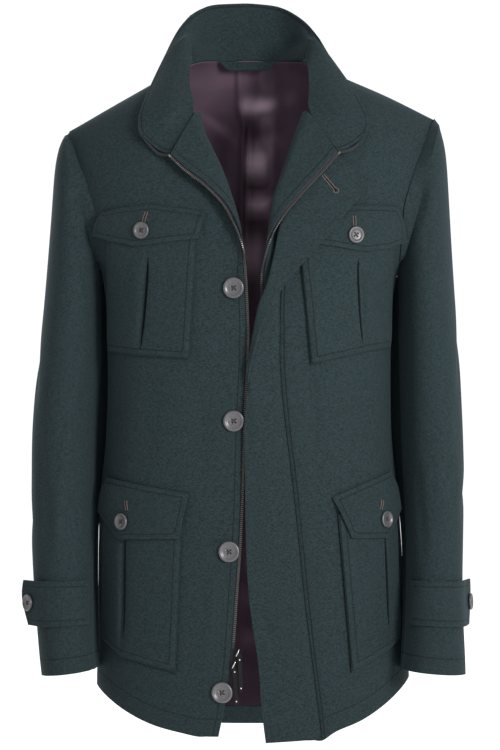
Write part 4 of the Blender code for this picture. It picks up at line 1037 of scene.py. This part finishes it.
for name in sleeves:
    pieces["zip_tape_" + name] = {"level": 1, "flat": (0.01, 0.84), "area": 0.0029, "round": 0.3,
                                  "restsOn": ["front_" + name], "material": wovenTape, "slot": "tape"}
for name, spec in pockets.items():
    pieces["pocket_" + name] = {
        "flat": spec["flat"], "area": spec["flat"][0] * spec["flat"][1] * 0.95,
        "restsOn": ["front_" + name.split("_")[1]],
        "prepare": flattenPleat(spec["slit"]), "shape": openSlit(spec["slit"]),
        "rows": [stitchRow(1.6, *spec["sides"]), stitchRow(8.6, *spec["sides"])]}
for name, spec in pockets.items():
    pieces["flap_" + name] = {
        "flat": spec["flapFlat"], "area": spec["flapFlat"][0] * spec["flapFlat"][1] * 0.9,
        "restsOn": ["pocket_" + name], "rows": [stitchRow(6.0)]}

for node, spec in pieces.items():
    skin(node, spec)
print("stage: cloth")

setStudio()


# a round cord through points, as mesh
def cordMesh(points, radiusMm, resolution=1):
    curve = bpy.data.curves.new("cord", "CURVE")
    curve.dimensions = "3D"
    curve.bevel_depth = radiusMm * mm
    curve.bevel_resolution = resolution
    curve.use_fill_caps = True
    line = curve.splines.new("POLY")
    line.points.add(len(points) - 1)
    for point, spot in zip(line.points, points):
        point.co = (*spot, 1.0)
    holder = newObject("cord", curve)
    mesh = evaluatedMesh(holder)
    bpy.data.objects.remove(holder, do_unlink=True)
    bpy.data.curves.remove(curve)
    return mesh


# buttons: turned horn, dished face with a raised rim, four holes and a thread cross
button = {
    "radiusMm": {"front": 12.5, "pocket": 10.0},
    "steps": 40,
    "profile": [(0, 2.3), (.42, 2.3), (.58, 2.42), (.66, 2.8), (.73, 3.45), (.80, 3.9), (.87, 4.0),
                (.94, 3.75), (.985, 3.2), (1.0, 2.5), (.99, 1.8), (.95, 1.1), (.88, .4), (.80, 0), (0, 0)],
    "dishMm": 2.3,
    "holeMm": 2.0,
    "holePlaceMm": 1.75,
    "threadMm": 0.42,
    "threadRise": 0.9,
    "threadLong": 1.02,
    "threadDives": (0.8, 9),            # share of the way out where a strand turns down, and how steeply
    "strandApartMm": 0.55,
    "strandLean": 0.7,
    "turnDegrees": 9,
    "turnWave": 40,
}


def buttonMaster(radiusMm):
    bm = bmesh.new()
    line = [bm.verts.new((r * radiusMm * mm, 0, h * mm)) for r, h in button["profile"]]
    edges = [bm.edges.new(pair) for pair in zip(line, line[1:])]
    bmesh.ops.spin(bm, geom=line + edges, cent=(0, 0, 0), axis=(0, 0, 1), steps=button["steps"],
                   angle=math.tau, use_merge=True)
    bmesh.ops.remove_doubles(bm, verts=bm.verts, dist=0.01 * mm)
    bmesh.ops.recalc_face_normals(bm, faces=bm.faces)
    disc = meshObject("buttonDisc", bm, [greyHorn])
    drill = bmesh.new()
    place, radius = button["holePlaceMm"] * mm, button["holeMm"] / 2 * mm
    for x, y in ((place, place), (-place, place), (-place, -place), (place, -place)):
        hole = bmesh.ops.create_cone(drill, cap_ends=True, segments=14, radius1=radius, radius2=radius,
                                     depth=12 * mm)
        bmesh.ops.translate(drill, verts=hole["verts"], vec=(x, y, 0))
    cutter = meshObject("buttonDrill", drill, [])
    cut = disc.modifiers.new("holes", "BOOLEAN")
    cut.operation = "DIFFERENCE"
    cut.solver = "EXACT"
    cut.object = cutter
    mesh = evaluatedMesh(disc)
    for old in (disc, cutter):
        bpy.data.objects.remove(old, do_unlink=True)
    bm = bmesh.new()
    bm.from_mesh(mesh)
    turnDown, steep = button["threadDives"]
    for sign in (1, -1):
        for strand in (-0.5, 0.5):
            shift = strand * button["strandApartMm"] * button["strandLean"]
            points = []
            for k in range(9):
                t = k / 4 - 1
                out = button["holePlaceMm"] * t * button["threadLong"]
                height = (button["dishMm"] + button["threadMm"] * button["threadRise"]
                          - max(abs(t) - turnDown, 0) * steep)
                points.append(((out + shift) * mm, sign * (out - shift) * mm, height * mm))
            before = len(bm.faces)
            bm.from_mesh(cordMesh(points, button["threadMm"]))
            secondMaterial(bm, before)
    return meshFrom(bm, "buttonMaster")


buttonMasters = {kind: buttonMaster(radiusMm) for kind, radiusMm in button["radiusMm"].items()}
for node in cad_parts:
    if not node.startswith("button"):
        continue
    spots = np.array([vert.co for vert in bpy.data.objects[node].data.vertices])
    middle = (spots.min(axis=0) + spots.max(axis=0)) / 2
    axis = np.linalg.svd(spots - spots.mean(axis=0))[2][2]
    tube = {"button_cuff_right": "sleeveRight", "button_cuff_left": "sleeveLeft"}.get(node, "torso")
    axis = axis * math.copysign(1, float(axis[:2] @ (middle[:2] - centreAt(tube, middle[2]))))
    reach = (spots - middle) @ axis
    up = Vector(axis)
    angle = math.radians(button["turnDegrees"] * math.sin(middle[2] * button["turnWave"]))
    across = Matrix.Rotation(angle, 3, up) @ Vector((0, 0, 1)).cross(up).normalized()
    seat = Vector(middle + axis * reach.min())
    bm = bmesh.new()
    master = buttonMasters["front" if "front" in node else "pocket"]
    placeCopy(bm, master, placing(seat, across, up.cross(across), up))
    disc = meshObject(node + "_horn", bm, [greyHorn, brownThread])
    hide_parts(node)
    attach(disc, "jacket")
print("stage: buttons")


# zip: metal teeth clenched on the tape's edge, an end stop at each collar corner
zipTeeth = {
    "pitchMm": 2.35,
    "toothMm": (1.15, 3.4, 2.3),
    "roundMm": 0.28,
    "stopMm": (4.4, 3.2, 3.2),
    "stopRoundMm": 0.7,
    "insetMm": 1.2,
    "footZ": -0.672,
    "besideZ": (-0.5, -0.2),            # heights between which the tape's side by the front is told apart
    "lookInMm": 1.5,
    "tapeMostMm": 3,
}


def boxMesh(size, roundMm):
    bm = bmesh.new()
    bmesh.ops.create_cube(bm, size=1.0)
    bmesh.ops.scale(bm, verts=bm.verts, vec=Vector(size) * mm)
    roundEdges(bm, bm.edges[:], roundMm, segments=1)
    return meshFrom(bm, "box")


toothMesh = boxMesh(zipTeeth["toothMm"], zipTeeth["roundMm"])
stopMesh = boxMesh(zipTeeth["stopMm"], zipTeeth["stopRoundMm"])


def toFront(side, name):
    low = [spot for spot in side if zipTeeth["besideZ"][0] < spot.z < zipTeeth["besideZ"][1]]
    return sum(treesOf["front_" + name].find_nearest(spot)[3] for spot in low) / len(low)


for name in ("right", "left"):
    node = "zip_tape_" + name
    tape = treesOf[node]
    longest = sorted(sidesOf[node], key=lambda side: -lineLength(side))[:2]
    inside, far = sorted(longest, key=lambda side: toFront(side, name))
    near = treeOf([inside])
    if far[0].z > far[-1].z:
        far = far[::-1]
    teeth = bmesh.new()
    spots = [(far[k].lerp(far[k + 1], t), (far[k + 1] - far[k]).normalized())
             for k, t in evenSteps(far, zipTeeth["pitchMm"] * mm, 0.0)]
    spots = [item for item in spots if item[0].z > zipTeeth["footZ"]]
    for k, (spot, along) in enumerate(spots):
        across = spot - near.find(spot)[0]
        across = (across - along * across.dot(along)).normalized()
        normal = along.cross(across)
        facing = tape.find_nearest(spot - across * zipTeeth["lookInMm"] * mm)[1]
        outward = facing if abs(facing.dot(normal)) > 0.5 else normal
        middle = spot - across * zipTeeth["insetMm"] * mm
        skinHit = tape.ray_cast(middle + outward * 0.5 * mm, -outward)[0]
        if skinHit is not None:
            through = tape.ray_cast(skinHit - outward * 0.3 * mm, -outward)[0]
            if through is not None and (through - skinHit).length < zipTeeth["tapeMostMm"] * mm:
                middle = (through + skinHit) / 2
        shape = stopMesh if k == len(spots) - 1 else toothMesh
        placeCopy(teeth, shape, placing(middle, along, across, normal))
    row = meshObject("zip_teeth_" + name, teeth, [agedNickel], smooth=False)
    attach(row, "jacket")
print("stage: zip teeth")


# buttonholes: purl stitches round a slit, some with a keyhole's eye; the slit and the eye are black shapes,
# painted shade in the opening
buttonholes = {
    "storm_flap": {"start": (91.5, -111), "end": (107.4, -129.9), "eyeMm": 2.7},
    "flap_chest_right": {"start": (-123.8, -156), "end": (-127.6, -169), "eyeMm": 0},
    "flap_chest_left": {"start": (129.6, -160.8), "end": (130.3, -173), "eyeMm": 0},
    "flap_lower_right": {"start": (-149.2, -508.7), "end": (-148.1, -520), "eyeMm": 0},
    "flap_lower_left": {"start": (164.2, -507.9), "end": (162.6, -519), "eyeMm": 0},
}
purl = {
    "stepMm": 0.62,
    "offsetMm": 1.5,
    "lengthMm": 1.8,
    "widthMm": 0.66,
    "heightShare": 0.6,
    "riseMm": 0.18,
    "slitMm": 0.42,
    "slitRiseMm": 0.3,
    "eyeSlitMm": 0.85,
    "eyeRingMm": (0.3, 0.6),            # how far outside the eye its stitches stand, and their count's circle
    "eyeStep": 1.25,
    "eyeOpening": -0.8,
    "eyeDisc": (0.72, 0.35, 0.1),       # share of the eye, half height and rise in mm
}
purlMesh = ellipsoid("purlBase", (purl["widthMm"] / 2 * mm, purl["lengthMm"] / 2 * mm,
                                  purl["widthMm"] * purl["heightShare"] * mm))
for node, spec in buttonholes.items():
    surface = treesOf[node]
    start, normal = onSurface(surface, *spec["start"])
    end, _ = onSurface(surface, *spec["end"])
    ahead = (end - start).normalized()
    across = normal.cross(ahead).normalized()
    eye = spec["eyeMm"] * mm
    steps = int(((end - start).length - eye) / (purl["stepMm"] * mm))
    marks = [(start + ahead * k * purl["stepMm"] * mm + across * sign * purl["offsetMm"] * mm, ahead)
             for sign in (-1, 1) for k in range(steps + 1)]
    if eye:
        out, ring = (item * mm for item in purl["eyeRingMm"])
        count = int(math.tau * (eye + ring) / (purl["stepMm"] * purl["eyeStep"] * mm))
        for k in range(count):
            angle = math.tau * k / count
            away = ahead * math.cos(angle) + across * math.sin(angle)
            if away.dot(ahead) > purl["eyeOpening"]:
                marks.append((end + away * (eye + out), away.cross(normal)))
    sewn = bmesh.new()
    for spot, along in marks:
        hit = surface.find_nearest(spot)
        facing = hit[1] if hit[1].dot(normal) > 0 else -hit[1]
        placeCopy(sewn, purlMesh, frameAt(hit[0] + facing * purl["riseMm"] * mm, along, facing))
    # painted shade: a black cord in the slit and a black disc in the eye
    count = len(sewn.faces)
    rise = normal * purl["slitRiseMm"] * mm
    line = [surface.find_nearest(start.lerp(end, k / 8))[0] + rise for k in range(9)]
    sewn.from_mesh(cordMesh(line[2:] if eye else line, purl["eyeSlitMm" if eye else "slitMm"]))
    if eye:
        share, high, rise = purl["eyeDisc"]
        flat = ellipsoid("eye", (eye * share, eye * share, high * mm), 14)
        placeCopy(sewn, flat, frameAt(end + normal * rise * mm, ahead, normal))
    secondMaterial(sewn, count)
    hole = meshObject("buttonhole_" + node, sewn, [silkTwist, blackEnamelAndPaintedShade])
    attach(hole, "jacket")
print("stage: buttonholes")


# zip hardware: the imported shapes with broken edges, a bail over each slider and rivets on each pull
hardware = {
    "zip_slider_upper": {"slot": "gunmetal", "body": "jacket", "roundMm": 0.4},
    "zip_slider_lower": {"slot": "gunmetal", "body": "jacket", "roundMm": 0.4},
    "zip_pull_upper": {"slot": "black", "body": "upper_pull", "roundMm": 0.3},
    "zip_pull_lower": {"slot": "black", "body": "lower_pull", "roundMm": 0.3},
}
bailMm = {"radius": 0.75, "path": [(1.9, -2.2, -0.4), (1.6, 0.1, -1.2), (0.6, 0.7, -3.6), (-0.9, 0.7, -6.4),
                                   (-1.7, 0.1, -8.4), (-1.9, -2.0, -9.2)]}
rivetMm = {"radius": 1.0, "height": 0.55, "drops": (0.2, 0.9), "probe": 0.3}
rivetMesh = ellipsoid("rivet", (rivetMm["radius"] * mm, rivetMm["height"] * mm, rivetMm["radius"] * mm), 12)
for node, spec in hardware.items():
    bm = bmesh.new()
    bm.from_mesh(bpy.data.objects[node].data)
    bmesh.ops.remove_doubles(bm, verts=bm.verts, dist=cloth["weldMm"] * mm)
    bmesh.ops.dissolve_limit(bm, angle_limit=math.radians(1), verts=bm.verts, edges=bm.edges)
    sharp = [edge for edge in bm.edges if edge.calc_face_angle(0.0) > math.radians(35)]
    roundEdges(bm, sharp, spec["roundMm"])
    packed = meshFrom(bm, "hardware")
    bm = bmesh.new()
    bm.from_mesh(packed)
    low, high = (np.array(corner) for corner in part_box(node))
    middleX, tall = (low[0] + high[0]) / 2, high[2] - low[2]
    if "slider" in node:
        bail = [(middleX + slope * mm, low[1] - out * mm, high[2] + drop * mm)
                for slope, out, drop in bailMm["path"]]
        before = len(bm.faces)
        bm.from_mesh(cordMesh(bail, bailMm["radius"], 2))
        secondMaterial(bm, before)
    for share in rivetMm["drops"] if "pull" in node else ():
        z = high[2] - tall * share
        surface = BVHTree.FromBMesh(bm)
        near = [vert.co.x for vert in bm.verts if abs(vert.co.z - z) < tall * 0.5]
        x = (min(near) + max(near)) / 2
        starts = [Vector((x + k * rivetMm["probe"] * mm, low[1] - 0.01, z)) for k in range(-12, 13)]
        hits = [surface.ray_cast(start, Vector((0, 1, 0)))[0] for start in starts]
        hits = [hit for hit in hits if hit is not None]
        if hits:
            before = len(bm.faces)
            placeCopy(bm, rivetMesh, Matrix.Translation(sum(hits, Vector()) / len(hits)))
            secondMaterial(bm, before)
    piece = meshObject(node + "_finished", bm, [blackEnamelAndPaintedShade, brightSteel], smooth=False)
    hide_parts(node)
    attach(piece, spec["body"])
bpy.data.objects["zip_pin_box"].material_slots[0].material = blackEnamelAndPaintedShade
print("stage: zip hardware")

sewn = meshObject("topstitching", allStitches, [sewingThread])
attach(sewn, "jacket")
